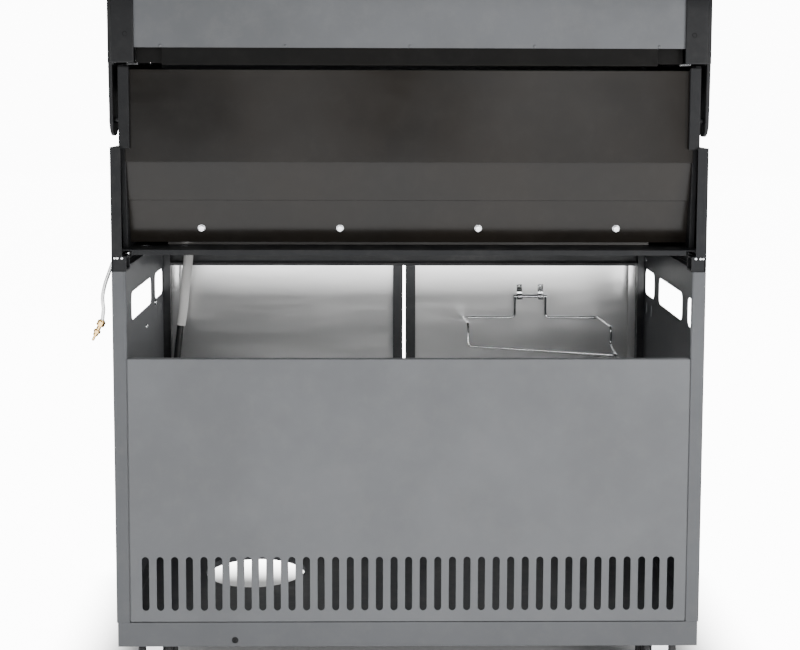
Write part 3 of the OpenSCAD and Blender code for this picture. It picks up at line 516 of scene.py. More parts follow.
def mouldedStuff(name, colour, roughness, depth=0.00008, radius=0.0008, dust=0.2):
    """Rubber or moulded plastic: fine spark texture, dulled a little by dust."""
    material, tree, shader, place = startMaterial(name)
    grain = useGroup(tree, paintGrain, Vector=place, Peel=1400.0)
    worn = useGroup(tree, edgeWear, Radius=radius, Amount=0.25)
    film = useGroup(tree, dustFilm, Vector=place, Amount=dust)
    tone = mixColour(tree, grain["Tone"], [c * 0.85 for c in colour], [c * 1.15 for c in colour])
    tone = mixColour(tree, worn["Mask"], tone, [c * 1.8 + 0.02 for c in colour])
    tone = mixColour(tree, film["Mask"], tone, (0.3, 0.29, 0.27))
    tree.links.new(tone, shader.inputs["Base Color"])
    matt = remap(tree, grain["Height"], 0.2, 0.8, roughness - 0.08, roughness + 0.08)
    tree.links.new(matt, shader.inputs["Roughness"])
    bumpInto(tree, shader, grain["Height"], depth, worn["Normal"])
    return material


def braidedSleeve(name, colour, turns, rows):
    """Glass fibre braid: two crossing sets of strands on the tube's own UV, sine of (u + v) and of (u - v)."""
    material, tree, shader, place = startMaterial(name)
    uv = tree.nodes.new("ShaderNodeUVMap")
    split = tree.nodes.new("ShaderNodeSeparateXYZ")
    tree.links.new(uv.outputs[0], split.inputs[0])
    u = mathNode(tree, "MULTIPLY", split.outputs["X"], turns * 2 * math.pi)
    v = mathNode(tree, "MULTIPLY", split.outputs["Y"], rows * 2 * math.pi)
    right = mathNode(tree, "SINE", mathNode(tree, "ADD", u, v))
    left = mathNode(tree, "SINE", mathNode(tree, "SUBTRACT", u, v))
    weave = remap(tree, mathNode(tree, "MAXIMUM", right, left), -0.6, 1.0)
    grain = useGroup(tree, paintGrain, Vector=place, Peel=1200.0)
    tone = mixColour(tree, weave, [c * 0.72 for c in colour], colour)
    tree.links.new(mixColour(tree, mathNode(tree, "MULTIPLY", grain["Tone"], 0.3), tone, [c * 0.88 for c in colour]),
                   shader.inputs["Base Color"])
    tree.links.new(remap(tree, weave, 0.0, 1.0, 0.85, 0.6), shader.inputs["Roughness"])
    shader.inputs["Sheen Weight"].default_value = 0.3
    normal = bumpInto(tree, shader, weave, 0.0005)
    bumpInto(tree, shader, grain["Height"], 0.0001, normal)
    return material


def clearGlass(name):
    """Thin flat glass: full transmission with a slight dust haze in the roughness."""
    material, tree, shader, place = startMaterial(name)
    film = useGroup(tree, dustFilm, Vector=place, Amount=0.05)
    shader.inputs["Base Color"].default_value = (1, 1, 1, 1)
    shader.inputs["Transmission Weight"].default_value = 1
    shader.inputs["IOR"].default_value = 1.45
    tree.links.new(mathNode(tree, "ADD", film["Mask"], 0.02, True), shader.inputs["Roughness"])
    return material


greyPaint = paintedSheet("greyPaint", (0.15, 0.155, 0.163), 0.48,
                         edge=(0.36, 0.37, 0.38), dents=0.0012, shine=0.16)
# a darker copy of the grey paint for the side panels, base and hems: painted shade on the same grey steel
shadedGreyPaint = paintedSheet("shadedGreyPaint", (0.11, 0.114, 0.121), 0.48,
                         edge=(0.3, 0.31, 0.32), dents=0.0008, shine=0.16)
# the same grey paint darkened for the hood skin, lip and rivets, whose rear faces get less light: painted shade
shadedHoodPaint = paintedSheet("shadedHoodPaint", (0.105, 0.109, 0.116), 0.38,
                         edge=(0.36, 0.37, 0.38), dents=0.0008, shine=0.22)
blackPaint = paintedSheet("blackPaint", (0.009, 0.0095, 0.0105), 0.42,
                          edge=(0.07, 0.07, 0.075), dust=0.12, shine=0.1)
graphitePaint = paintedSheet("graphitePaint", (0.024, 0.025, 0.027), 0.4,
                             edge=(0.1, 0.1, 0.105), shine=0.3)
fireEnamel = enamelledSheet("fireEnamel", (0.0088, 0.0078, 0.0068), 0.17, 0.086)
# near-black matte finish that paints shade: the hood band in its dark gap, the cap's screw holes and the burner ports
paintedShadeBlack = enamelledSheet("paintedShadeBlack", (0.003, 0.003, 0.003), 0.5, 0.05, 0.0)
castBlack = castMetal("castBlack", (0.008, 0.0083, 0.009), 0.46, shine=0.1)
capBlack = castMetal("capBlack", (0.0095, 0.0098, 0.0105), 0.42, 0.00012, shine=0.1)
grateEnamel = castMetal("grateEnamel", (0.012, 0.012, 0.012), 0.5, 0.0004, 0.0015)
doorSteel = rolledSteel("doorSteel", (0.97, 0.97, 0.965), 0.285)      # renders at 0.25 showed blotches
panelSteel = brushedMetal("panelSteel", (0.64, 0.64, 0.64), 0.26)
handleSteel = brushedMetal("handleSteel", (0.68, 0.68, 0.68), 0.2, (1.0, 500.0, 500.0))
# near-black brushed steel for the drip tray, seen in the dark gap under the firebox: painted shade
shadedTraySteel = brushedMetal("shadedTraySteel", (0.09, 0.088, 0.085), 0.42, (900.0, 1.5, 900.0))
burnerSteel = brushedMetal("burnerSteel", (0.42, 0.4, 0.37), 0.36, (700.0, 2.0, 700.0), smudge=0.2)
tamerSteel = brushedMetal("tamerSteel", (0.46, 0.45, 0.43), 0.34, (900.0, 1.5, 900.0), smudge=0.2)
tubeSteel = brushedMetal("tubeSteel", (0.55, 0.55, 0.55), 0.32, (200.0, 200.0, 20.0))
chromePlate = platedMetal("chromePlate", (0.78, 0.79, 0.8), 0.07)
zincPlate = platedMetal("zincPlate", (0.62, 0.63, 0.65), 0.24)
brightZinc = platedMetal("brightZinc", (0.72, 0.73, 0.74), 0.16)
yellowBrass = platedMetal("yellowBrass", (0.66, 0.43, 0.16), 0.2)
dullBrass = platedMetal("dullBrass", (0.52, 0.38, 0.18), 0.3)
greyCasting = castMetal("greyCasting", (0.28, 0.285, 0.295), 0.45, 0.0002)
hoseRubber = mouldedStuff("hoseRubber", (0.014, 0.014, 0.015), 0.4)
wheelRubber = mouldedStuff("wheelRubber", (0.016, 0.016, 0.017), 0.5)
knobPlastic = mouldedStuff("knobPlastic", (0.02, 0.02, 0.021), 0.32)
trimPlastic = mouldedStuff("trimPlastic", (0.032, 0.034, 0.037), 0.42)
dialWhite = mouldedStuff("dialWhite", (0.78, 0.78, 0.76), 0.4, dust=0.03)
markWhite = mouldedStuff("markWhite", (0.7, 0.7, 0.68), 0.45, dust=0.05)
markRed = mouldedStuff("markRed", (0.45, 0.02, 0.015), 0.4, dust=0.03)
dialGlass = clearGlass("dialGlass")
glassFibre = braidedSleeve("glassFibre", (0.93, 0.92, 0.9), 12, 60)
print("barbecue: finishes made")

# ---- gas hose, its heat sleeve and the side burner's feed pipe ----

hoseSettings = {
    "route": [
        (396, -188, 775), (396, -188, 740), (396, -188, 700), (397, -188, 660), (400, -188, 620),
        (405, -187, 580), (409, -186, 540), (414, -185, 505), (419, -182, 460), (422, -178, 420),
        (422, -171, 380), (419, -161, 340), (412, -148, 300), (401, -134, 262), (387, -121, 228),
        (370, -110, 198), (349, -101, 172), (325, -95, 151), (298, -92, 138), (270, -91, 131),
        (242, -91, 128), (215, -91, 128)],       # millimetres, manifold to regulator
    "sleevePoints": 8,
    "sleeveRadius": 0.0091,
    "hoseRadius": 0.0064,
}
feedSettings = {
    "route": [
        (450, 178, 678), (456, 178, 677), (462, 178, 673), (467, 178, 666), (471, 178, 656),
        (475, 178, 645), (479, 178, 634), (482, 178, 623), (484, 178, 612), (484, 178, 602),
        (483, 178, 592), (484, 178, 582), (485, 178, 573)],
    "radius": 0.003,
}


def pathLength(path):
    return float(np.linalg.norm(np.diff(path, axis=0), axis=1).sum())


def makeHose(s):
    route = np.array(s["route"], float) / 1000
    upper, lower = route[:s["sleevePoints"]], route[s["sleevePoints"] - 1:]
    upperPath, lowerPath = smoothPath(upper, 10), smoothPath(lower, 10)
    along = np.linspace(0, 1, len(upperPath))
    ripple = s["sleeveRadius"] * (1 - 0.035 + 0.03 * np.sin(along * 23) * np.sin(along * 61 + 1))
    ripple[-3:] *= [1.0, 1.02, 1.035]       # the cut end flares a little
    sleeve = makePiece("hoseSleeve", tubeShape(upperPath, ripple, 24, (1, 1, 0)), glassFibre, "cart",
                       60)
    hose = makePiece("gasHose", tubeShape(lowerPath, s["hoseRadius"], 20, (1, 1, 0)), hoseRubber, "cart",
                     60)
    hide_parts("hose_sleeve")
    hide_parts("gas_hose")
    return hose, lowerPath


def makeFeedPipe(s):
    path = smoothPath(np.array(s["route"], float) / 1000, 8)
    pipe = makePiece("feedPipe", tubeShape(path, s["radius"], 16, (0, 1, 0)), tubeSteel, "cart", 60)
    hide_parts("burner_pipe")
    return pipe, path


regulatorSettings = {"bell": (0.163, -0.091, 0.1182), "ridges": 22, "nutStart": 0.133, "nutHeight": 0.137}


def makeRegulator(s):
    """Pressed bell with a rolled waist and vent cap, a ribbed hand nut and a hose barb with a clamp."""
    x, y, z = s["bell"]
    bell = revolved([(0, 0), (0.0255, 0), (0.0305, 0.005), (0.0312, 0.008), (0.0298, 0.0095), (0.0298, 0.011),
                     (0.0312, 0.0125), (0.0305, 0.016), (0.0245, 0.0205), (0.0205, 0.0265), (0.018, 0.0285),
                     (0.009, 0.0288), (0.0088, 0.0265), (0, 0.0265)], (x, y, z), sides=64)
    body = makePiece("regulatorBell", bell, greyCasting, "cart", 30)
    nut = revolved([(0.0109, 0.0296), (0.0112, 0.0085), (0.004, 0.008), (0, 0.008), (0, 0), (0.0125, 0),
                    (0.0148, 0.002), (0.0155, 0.005), (0.0155, 0.026), (0.0145, 0.0292), (0.0109, 0.0296)],
                   (s["nutStart"], y, s["nutHeight"]), "-x", 132, s["ridges"], 0.07)
    hand = makePiece("regulatorNut", nut, knobPlastic, "cart", 40)
    neck = together([tubeShape([(0.1335, y, 0.137), (0.1395, y, 0.137), (0.146, y, 0.137)],
                               [0.0078, 0.0078, 0.007], 32),
                     tubeShape([(0.1865, y, 0.128), (0.196, y, 0.128), (0.1965, y, 0.128), (0.2145, y, 0.128)],
                               [0.0088, 0.0088, 0.0078, 0.0077], 32)])
    brass = makePiece("regulatorNeck", neck, dullBrass, "cart", 30)
    band = revolved([(0.0079, 0), (0.0088, 0), (0.009, 0.001), (0.009, 0.007), (0.0088, 0.008), (0.0079, 0.008),
                     (0.0079, 0)], (0.2, y, 0.128), "x", 40)
    clamp = makePiece("hoseClamp", band, brightZinc, "cart", 30)
    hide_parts("regulator")
    return [body, hand, brass, clamp]


orificeSettings = {"direction": (4, 0, -8), "nut": 0.0118, "nozzleRadius": 0.0022}


def makeOrifice(s, end):
    """Compression nut, short neck, hexagon and tapering jet, all turned about the pipe's last direction."""
    d = Vector(s["direction"]).normalized()
    turn = np.array(d.to_track_quat("Z", "Y").to_matrix())
    parts = [hexShape(s["nut"], 0.0005, 0.0095),
             revolved([(0, -0.001), (0.0042, -0.001), (0.0046, 0.0005), (0.0046, 0.001), (0, 0.001)], (0, 0, 0),
                      sides=32),
             revolved([(0, 0.0095), (0.0036, 0.0095), (0.0036, 0.0168), (0, 0.0168)], (0, 0, 0), sides=32),
             hexShape(0.0102, 0.0168, 0.0218),
             revolved([(0, 0.0218), (0.0042, 0.0218), (0.0042, 0.0255), (0.0034, 0.0268), (s["nozzleRadius"], 0.0275),
                       (s["nozzleRadius"], 0.0345), (0.0014, 0.0358), (0.0005, 0.0358), (0.0005, 0.033), (0, 0.033)],
                      (0, 0, 0), sides=32)]
    shape = turned(together(parts), turn)
    shape = (shape[0] + np.asarray(end), shape[1], shape[2])
    piece = makePiece("orificeFitting", shape, yellowBrass, "cart", 30)
    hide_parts("pipe_orifice")
    return piece


gasHose, hosePath = makeHose(hoseSettings)
regulatorPieces = makeRegulator(regulatorSettings)
feedPipe, feedPath = makeFeedPipe(feedSettings)
orifice = makeOrifice(orificeSettings, feedPath[-1])
print("barbecue: hose %.3f m, feed pipe %.3f m" % (pathLength(hosePath), pathLength(feedPath)))

# ---- hood: rolled skin, cast end caps, rivets ----

hoodSettings = {
    "rear": 0.27, "front": -0.202, "top": 1.2, "rearRadius": 0.145, "frontRadius": 0.18,
    "skinLow": 1.001, "capLow": 0.978, "frontLow": 0.936, "sheet": 0.0015, "rim": 0.004,
    "inset": 0.00005, "lipDepth": 0.0055,
    "capInside": 0.446, "capWall": 0.006, "rimWidth": 0.033, "armWidth": 0.026, "armReach": 0.034,
    "screwIn": 0.02, "screwUp": 0.043,
    "pivot": (0.244, 0.892), "lug": 0.024,
    "handle": (-0.256, 0.998), "handleRadius": 0.0125,
    "rivets": (-0.374, -0.187, 0.0, 0.187, 0.374), "rivetZ": 1.004,
}


def hoodOutline(s, offset, rearLow, frontLow, steps=40):
    """Side outline of the hood, rear edge up over the two corner arcs and down the front, moved out by offset."""
    rearArc, frontArc = s["rearRadius"], s["frontRadius"]
    rear = arcPoints((s["rear"] - rearArc, s["top"] - rearArc), rearArc + offset, 0, 90, steps)
    front = arcPoints((s["front"] + frontArc, s["top"] - frontArc), frontArc + offset, 90, 180, steps)
    return np.vstack([[(s["rear"] + offset, rearLow)], rear, front, [(s["front"] - offset, frontLow)]])


def makeHood(s):
    """The rolled skin, the lip folded in at its front edge and the rivets along its rear edge."""
    outer = hoodOutline(s, -s["inset"], s["skinLow"], s["frontLow"])
    inner = hoodOutline(s, -s["inset"] - s["sheet"], s["skinLow"], s["frontLow"])
    width = s["capInside"] - 0.0001
    skin = slabPiece("hoodSkin", np.vstack([outer, inner[::-1]]), -width, width, shadedHoodPaint, "hood", "grey_panel", 0)
    y0, z0 = s["front"] + 0.0003, s["frontLow"]
    y1, z1 = y0 + s["lipDepth"], z0 + s["sheet"]
    slabPiece("hoodFrontLip", [(y0, z0), (y1, z0), (y1, z1), (y0, z1)], -width, width, shadedHoodPaint, "hood",
              "grey_panel", 0.0003)
    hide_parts("hood_skin")
    dome = [(0, 0.0011), (0.0013, 0.001), (0.0022, 0.0006), (0.0026, 0), (0.0026, -0.0003)]
    rivet = mirroredY(revolved(dome, (0, 0, 0), "-y", 24))
    makePiece("hoodRivets", copiesAt(rivet, [(x, s["rear"], s["rivetZ"]) for x in s["rivets"]]), shadedHoodPaint, "hood",
              40)


def makeCap(side, s):
    """Side wall with the hinge lug, the rim that folds over the skin, the handle arm and a near-black cup in the rim's
    screw hole, painted as the hole's shade.
    """
    hand = "Left" if side < 0 else "Right"
    py, pz = s["pivot"]
    hy, hz = s["handle"]
    r, grip = s["rim"], s["handleRadius"] + 0.006
    outline = hoodOutline(s, r, s["capLow"], s["frontLow"])
    wall = np.vstack([[(s["rear"] + r - 0.002, s["capLow"])], outline, [(py - 0.04, s["frontLow"])],
                      [(py - 0.024, s["frontLow"] - 0.016)], arcPoints((py, pz), s["lug"], 180, 360, 36)])
    rim = np.vstack([outline, hoodOutline(s, 0.0, s["capLow"], s["frontLow"])[::-1]])
    root = s["front"] - r + 0.001
    arm = np.vstack([[(root, hz + s["armReach"])], arcPoints((hy, hz), grip, 90, 270, 30),
                     [(root, hz - s["armReach"])]])
    x = s["capInside"]
    parts = [("Wall", wall, x, x + s["capWall"], 0.002), ("Rim", rim, x - s["rimWidth"], x + 0.001, 0.0012),
             ("Arm", arm, x - s["armWidth"], x + s["capWall"] - 0.0002, 0.0025)]
    made = [slabPiece("hoodCap%s%s" % (part, hand), shape, *sorted((side * a, side * b)), capBlack, "hood",
                      "cast_black", bevel, 30) for part, shape, a, b, bevel in parts]
    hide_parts("hood_cap_" + hand.lower())
    # a near-black cup in the rim's screw hole: painted shade of the hole
    dish = [(0, -0.0012), (0.0026, -0.0012), (0.003, 0.0001), (0.0034, 0.0003), (0.0036, -0.0004)]
    cup = mirroredY(revolved(dish, (0, 0, 0), "-y", 32))
    place = (side * (x - s["screwIn"]), s["rear"] + r + 0.0003, s["capLow"] + s["screwUp"])
    makePiece("capHoleShade" + hand, copiesAt(cup, [place]), paintedShadeBlack, "hood", 40)


makeHood(hoodSettings)
for side in (-1, 1):
    makeCap(side, hoodSettings)

# ---- screws with heads, washers and drive recesses ----

screwSettings = {
    "burnerBolts": [(x, 0.2313, 0.726) for x in (-0.3195, -0.1065, 0.1065, 0.3195)],
    "burnerLean": -13.2,
    "footScrews": [(side * x, 0.276, 0.6845) for side in (-1, 1) for x in (0.446, 0.4415, 0.4345)],
    "baseScrew": (0.268, 0.278, 0.09),
    "sideScrews": [(0.4485, -0.014, 0.531), (0.4485, -0.111, 0.558)],
}


def crossHead(radius, height, recess=0.45, sides=48):
    """A pan head about +Z: the radius falls off as a quarter ellipse; a cross is sunk where |x| or |y| is small."""
    t = np.linspace(0, 1, 14)
    profile = [(radius * math.sin(math.pi / 2 * v), height * math.cos(math.pi / 2 * v)) for v in t]
    points, quads, uvs = revolved(profile[:-1] + [(radius, 0), (radius, -0.0003)], (0, 0, 0), "z", sides)
    x, y = np.abs(points[:, 0]), np.abs(points[:, 1])
    near = (np.minimum(x, y) < radius * 0.13) & (np.maximum(x, y) < radius * recess)
    points = points.copy()
    points[:, 2] -= near * height * 0.55
    return points, quads, uvs


def hexBolt(flats, height, washer):
    """A hexagon head on a round washer, about +Z."""
    rim = [(0, 0.0013), (washer * 0.97, 0.001), (washer, 0.0006), (washer, -0.0002)]
    return together([hexShape(flats, 0.0009, height), revolved(rim, (0, 0, 0), "z", 40)])


def facing(shape, places, turnX=0.0, turnZ=0.0):
    """The +Z shape laid to look along +Y, leaned about X, swung about Z and set down at each place."""
    turn = Matrix.Rotation(math.radians(turnZ), 3, "Z") @ Matrix.Rotation(math.radians(-90 + turnX), 3, "X")
    return copiesAt(turned(shape, turn), places)


def makeScrews(s):
    bolts = makePiece("burnerBolts", facing(hexBolt(0.0095, 0.0042, 0.0058), s["burnerBolts"], s["burnerLean"]),
                      zincPlate, "cart", 30)
    makePiece("footScrews", facing(crossHead(0.0022, 0.0016), s["footScrews"]), brightZinc, "cart", 40)
    makePiece("baseScrew", facing(crossHead(0.005, 0.0022), [s["baseScrew"]]), blackPaint, "cart", 40)
    makePiece("sideScrews", facing(crossHead(0.005, 0.0032), s["sideScrews"], 0, 90), brightZinc, "cart",
              40)
    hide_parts("screws")


makeScrews(screwSettings)

# ---- rolled hems on the side panels' rear flanges, above the back panel ----

hemSettings = {"x": 0.4315, "y": 0.2752, "low": 0.531, "high": 0.6635, "radius": 0.003}


def makeHems(s):
    r = s["radius"]
    for side, name in ((-1, "Left"), (1, "Right")):
        path = [(side * s["x"], s["y"], z) for z in (s["low"], s["low"] + 0.0008, s["high"] - 0.0008, s["high"])]
        makePiece("flangeHem" + name, tubeShape(path, [r - 0.0006, r, r, r - 0.0006], 24), shadedGreyPaint, "cart",
                  40)


makeHems(hemSettings)

# ---- wire holder on the left door ----

holderSettings = {"x": -0.238, "y": -0.2318, "z": 0.552, "reach": 0.127, "wire": 0.0022, "bend": 0.009}


def makeHolder(s):
    x, y, z = s["x"], s["y"], s["z"]
    left, right = x - s["reach"], x + s["reach"]
    corners = [(x - 0.029, y, z), (x - 0.029, y, z - 0.04), (left, y, z - 0.04), (left, y + 0.158, z - 0.032),
               (left, y + 0.158, z - 0.064), (left, y + 0.225, z - 0.07), (right, y + 0.17, z - 0.064),
               (right, y + 0.158, z - 0.026), (right, y, z - 0.04), (x + 0.029, y, z - 0.04), (x + 0.029, y, z)]
    wire = tubeShape(bentPath(corners, s["bend"]), s["wire"], 16)
    pivot = tubeShape([(x - 0.032, y, z), (x - 0.0315, y, z), (x + 0.0315, y, z), (x + 0.032, y, z)],
                      [0.0024, 0.003, 0.003, 0.0024], 24)
    holder = makePiece("wireHolder", together([wire, pivot]), chromePlate, "holder", 45)
    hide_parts("wire_holder")


makeHolder(holderSettings)

# ---- front: thermometer, knob marks, bezel ticks ----

dialSettings = {"place": (0.0, -0.2071, 1.0), "radius": 0.033, "ticks": 25, "sweep": 250, "needle": -112}
knobX = (-0.3195, -0.1065, 0.1065, 0.3195, 0.395)
knobSettings = {"z": 0.815, "panel": -0.25, "face": -0.28, "ring": 0.0315,
                "ticks": (-125, -104, -83, -62, -42, -21, 0), "longTicks": (-125, -62, 0)}


def bladeShape(inner, outer, width, angle, depth):
    """A flat bar between two radii at an angle from straight up, in the (x, z) plane, standing off towards -Y."""
    a = math.radians(angle)
    along, across = np.array([math.sin(a), 0, math.cos(a)]), np.array([math.cos(a), 0, -math.sin(a)])
    ring = lambda r: np.stack([r * along + sign * across * width / 2 + np.array([0, d, 0])
                               for sign, d in ((-1, 0), (1, 0), (1, -depth), (-1, -depth))])
    middle = lambda r: np.repeat((r * along + np.array([0, -depth / 2, 0]))[None], 4, 0)
    return gridShape(np.stack([middle(inner), ring(inner), ring(outer), middle(outer)]))


def makeDial(s):
    """White face with ticks round most of the circle, a red-tipped needle, a hub and a thin glass over them."""
    place = [s["place"]]
    rim = s["radius"] - 0.0006
    face = revolved([(0, 0.0002), (rim, 0.0002), (rim, -0.0003)], (0, 0, 0), "-y", 64)
    makePiece("dialFace", copiesAt(face, place), dialWhite, "hood", 30)
    angles = np.linspace(-s["sweep"] / 2, s["sweep"] / 2, s["ticks"])
    longTick, shortTick = (0.74, 0.0011), (0.81, 0.0005)        # inner end as a part of the radius, width
    ticks = []
    for i, angle in enumerate(angles):
        start, width = shortTick if i % 4 else longTick
        ticks.append(bladeShape(s["radius"] * start, s["radius"] * 0.9, width, float(angle), 0.0001))
    _, y, z = s["place"]
    y -= 0.00025
    needle = bladeShape(-0.007, 0.023, 0.0013, s["needle"], 0.0003)
    makePiece("dialTicks", copiesAt(together(ticks), [(0, y, z)]), knobPlastic, "hood", 30)
    makePiece("dialNeedle", copiesAt(needle, [(0, y - 0.0007, z)]), markRed, "hood", 30)
    hub = revolved([(0, 0.0018), (0.0018, 0.0018), (0.0026, 0.001), (0.0026, 0)], (0, 0, 0), "-y", 32)
    makePiece("dialHub", copiesAt(hub, place), knobPlastic, "hood", 40)
    edge = s["radius"] + 0.0002
    glass = revolved([(0, 0.0031), (s["radius"] - 0.001, 0.0029), (edge, 0.0026), (edge, 0.0021), (0, 0.0021)],
                     (0, 0, 0), "-y", 64)
    makePiece("dialGlass", copiesAt(glass, place), dialGlass, "hood", 40)


def makeKnobMarks(s):
    """A white line on each grip, and long and short ticks round each bezel."""
    for i, x in enumerate(knobX):
        line = copiesAt(bladeShape(0.0045, 0.0165, 0.0014, 0, 0.00025), [(x, s["face"] + 0.0001, s["z"])])
        makePiece("knobLine%d" % (i + 1), line, markWhite, "dial_%d" % (i + 1), 30)
        marks = [bladeShape(s["ring"] + 0.0035, s["ring"] + (0.0075 if angle in s["longTicks"] else 0.0058), 0.0009,
                            angle, 0.0001) for angle in s["ticks"]]
        makePiece("bezelTicks%d" % (i + 1), copiesAt(together(marks), [(x, s["panel"] - 0.0001, s["z"])]),
                  knobPlastic, "cart", 30)


makeDial(dialSettings)
makeKnobMarks(knobSettings)

# ---- burner ports, caster caps ----

portSettings = {"radius": 0.022, "burnerZ": 0.815, "first": -0.11, "last": 0.2, "count": 40, "lean": 115}


def makePorts(s):
    """Two rows of ports low on each burner tube: small dark discs painted as the shade inside the holes, leaning from
    straight up.
    """
    disc = revolved([(0, 0.0001), (0.0012, 0.0001), (0.0014, -0.0003)], (0, 0, 0), "z", 10)
    shapes = []
    for side in (-1, 1):
        turn = Matrix.Rotation(math.radians(side * s["lean"]), 3, "Y")
        outX, _, outZ = s["radius"] * np.array(turn @ Vector((0, 0, 1)))
        places = [(x + outX, y, s["burnerZ"] + outZ) for x in knobX[:4]
                  for y in np.linspace(s["first"], s["last"], s["count"])]
        shapes.append(copiesAt(turned(disc, turn), places))
    makePiece("burnerPorts", together(shapes), paintedShadeBlack, "cart", 30)


casterPlaces = [(x, y) for x in (-0.399, 0.399) for y in (-0.171, 0.227)]
casterSettings = {"axle": 0.038, "trail": 0.022, "face": 0.0272}


def makeCasterCaps(s):
    """Pressed hub caps with a rounded rim on both outer faces of each caster, and a nut under its plate."""
    cap = [(0, 0.0016), (0.006, 0.0016), (0.0075, 0.0008), (0.017, 0.0006), (0.019, 0.0014), (0.021, 0.0006),
           (0.0215, -0.001)]
    for i, (x, y) in enumerate(casterPlaces):
        inwards = y - s["trail"] if y > 0 else y + s["trail"]
        pair = together([revolved(cap, (x + side * s["face"], inwards, s["axle"]), "x" if side > 0 else "-x", 48)
                         for side in (-1, 1)])
        makePiece("casterCaps%d" % (i + 1), pair, wheelRubber, "wheels_%d" % (i + 1), 35)
        stem = hexShape(0.017, 0.0655, 0.0668, (x, y, 0))
        makePiece("casterNut%d" % (i + 1), stem, brightZinc, "caster_%d" % (i + 1), 30)


makePorts(portSettings)
makeCasterCaps(casterSettings)

# ---- finishes of the carried-over pieces ----

finishOf = {
    greyPaint: ["back_panel"],
    shadedGreyPaint: ["base_panel", "side_panel_left", "side_panel_right"],
    blackPaint: ["side_casing_left", "side_casing_right", "foot_brackets", "heat_shield"],
    graphitePaint: ["front_frame", "hinge_pins"],
    fireEnamel: ["firebox_rear", "firebox_front"],
    paintedShadeBlack: ["hood_band"],
    castBlack: ["firebox_end_left", "firebox_end_right"],
    grateEnamel: ["cooking_grates"],
    doorSteel: ["door_left", "door_right"],
    panelSteel: ["control_panel"],
    handleSteel: ["hood_handle", "thermometer"],
    shadedTraySteel: ["drip_tray"],
    burnerSteel: ["burners"],
    tamerSteel: ["flame_tamers"],
    tubeSteel: ["manifold"],
    chromePlate: ["warming_rack", "knob_bezels", "holder_clips"],
    zincPlate: ["caster_plates", "caster_body_1", "caster_body_2", "caster_body_3", "caster_body_4"],
    dullBrass: ["gas_valves", "valve_stem_1", "valve_stem_2", "valve_stem_3", "valve_stem_4", "valve_stem_5"],
    wheelRubber: ["caster_wheels_1", "caster_wheels_2", "caster_wheels_3", "caster_wheels_4"],
    knobPlastic: ["knob_1", "knob_2", "knob_3", "knob_4", "knob_5"],
    trimPlastic: ["door_trim_left", "door_trim_right"],
}
for material, names in finishOf.items():
    for name in names:
        slots = nodes[name].data.materials
        slots.clear()
        slots.append(material)
print("barbecue: frame pieces finished")

# ---- room and light ----

roomSettings = {
    "floor": (0.8, 0.8, 0.8),
    "reach": 14.0,          # radius of the floor
    "floorShown": 12.0,     # glow of the pale floor for the camera
    "floorMirrored": 7.0,   # glow of the pale floor seen only in reflections, a painted reflection, full behind the grill
    "frontShare": 0.2,      # what is left of that glow in front of the grill
    "frontFade": (-0.4, 0.9),               # y from which and to which the glow grows
    "foot": (0.45, 0.25, 0.028, 0.17),      # half width, half depth, middle and fade of the painted shadow on the floor below the grill
    "sky": 0.36,            # light the room gives
    "backdrop": 12.0,       # brightness of the empty backdrop
}
# name, place, aim, width, height, power in watts
softLights = [
    ("rearKey", (0.5, 3.6, 2.7), (0, 0.2, 0.6), 1.8, 1.2, 38),
    ("enamelGlowRight", (-0.65, 3.7, 1.0), (0, 0.2, 0.85), 0.8, 0.6, 10),
    ("enamelGlowLeft", (0.42, 3.7, 1.0), (0, 0.2, 0.85), 0.45, 0.7, 5),
    ("rearSide", (2.3, 2.9, 2.1), (0, 0.2, 0.6), 1.6, 1.6, 16),
    ("rearFill", (-2.2, 2.8, 0.95), (0.3, 0, 0.6), 1.2, 0.9, 78),
    ("frontKey", (-1.8, -3.2, 2.8), (0, 0, 0.7), 2.4, 1.6, 75),
    ("frontFill", (2.4, -2.6, 1.6), (0, 0, 0.6), 1.6, 2.0, 30),
    ("topLight", (0, 0.2, 3.6), (0, 0, 1.0), 2.6, 2.0, 22),
]


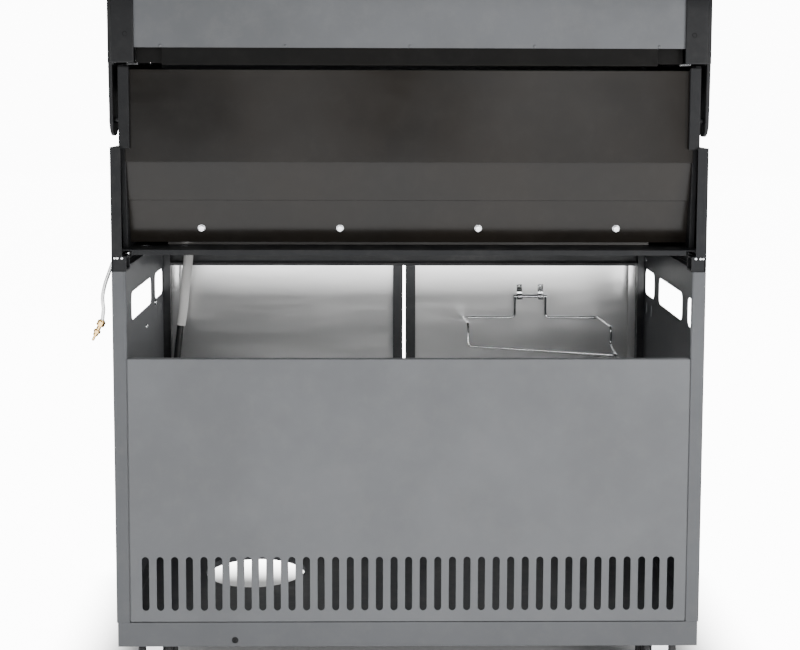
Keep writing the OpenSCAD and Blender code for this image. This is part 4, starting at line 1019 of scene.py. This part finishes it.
def makeFloor(s):
    """A pale floor, brighter for the camera and in reflections than as a light: glow = (shown + mirrored) * lit, where
    lit fades the glow out under the grill as a painted shadow and the mirrored glow is a painted reflection.
    """
    material, tree, shader, place = startMaterial("paleFloor")
    shader.inputs["Base Color"].default_value = (*s["floor"], 1)
    shader.inputs["Roughness"].default_value = 0.8
    shader.inputs["Emission Color"].default_value = (1, 1, 1, 1)
    path = tree.nodes.new("ShaderNodeLightPath")
    split = tree.nodes.new("ShaderNodeSeparateXYZ")
    tree.links.new(place, split.inputs[0])
    # the glow fades out over the grill's footprint: a painted shadow on the floor
    halfX, halfY, middle, fade = s["foot"]
    squares = []
    for label, centre, half in (("X", 0.0, halfX), ("Y", middle, halfY)):
        away = mathNode(tree, "ABSOLUTE", mathNode(tree, "SUBTRACT", split.outputs[label], centre))
        beyond = mathNode(tree, "MAXIMUM", mathNode(tree, "SUBTRACT", away, half), 0.0)
        squares.append(mathNode(tree, "MULTIPLY", beyond, beyond))
    clear = mathNode(tree, "SQRT", mathNode(tree, "ADD", *squares))
    lit = remap(tree, clear, 0.0, fade)
    shown = mathNode(tree, "MULTIPLY", path.outputs["Is Camera Ray"], s["floorShown"])
    # glossy rays see extra floor glow, weaker in front of the grill: a painted reflection
    behind = remap(tree, split.outputs["Y"], *s["frontFade"], s["frontShare"] * s["floorMirrored"], s["floorMirrored"])
    mirrored = mathNode(tree, "MULTIPLY", path.outputs["Is Glossy Ray"], behind)
    glow = mathNode(tree, "MULTIPLY", mathNode(tree, "ADD", shown, mirrored), lit)
    tree.links.new(glow, shader.inputs["Emission Strength"])
    a = np.linspace(0, 2 * np.pi, 64, endpoint=False)[None, :]
    r = np.array([[0.0], [s["reach"]]])
    disc = gridShape(np.stack([r * np.cos(a), r * np.sin(a), 0 * r * a], -1))
    mesh = bpy.data.meshes.new("floor")
    mesh.from_pydata(disc[0].tolist(), [], disc[1].tolist())
    finishMesh(mesh)
    if mesh.polygons[0].normal.z < 0:
        mesh.flip_normals()
    mesh.materials.append(material)
    obj = bpy.data.objects.new("floor", mesh)
    bpy.context.scene.collection.objects.link(obj)


def makeWorld(s):
    """Bright for the camera, dimmer as a light: strength = sky + (backdrop - sky) * camera ray."""
    world = bpy.data.worlds.new("studio")
    bpy.context.scene.world = world
    world.use_nodes = True
    tree = world.node_tree
    glow = tree.nodes["Background"]
    path = tree.nodes.new("ShaderNodeLightPath")
    lift = mathNode(tree, "MULTIPLY", path.outputs["Is Camera Ray"], s["backdrop"] - s["sky"])
    tree.links.new(mathNode(tree, "ADD", lift, s["sky"]), glow.inputs["Strength"])
    glow.inputs["Color"].default_value = (1, 1, 1, 1)


def addSoftLight(name, place, aim, width, height, power):
    data = bpy.data.lights.new(name, "AREA")
    data.shape, data.size, data.size_y, data.energy = "RECTANGLE", width, height, power
    obj = bpy.data.objects.new(name, data)
    bpy.context.scene.collection.objects.link(obj)
    turn = (Vector(aim) - Vector(place)).to_track_quat("-Z", "Y").to_matrix().to_4x4()
    obj.matrix_world = Matrix.Translation(place) @ turn


makeFloor(roomSettings)
makeWorld(roomSettings)
for row in softLights:
    addSoftLight(*row)

print("barbecue: done")
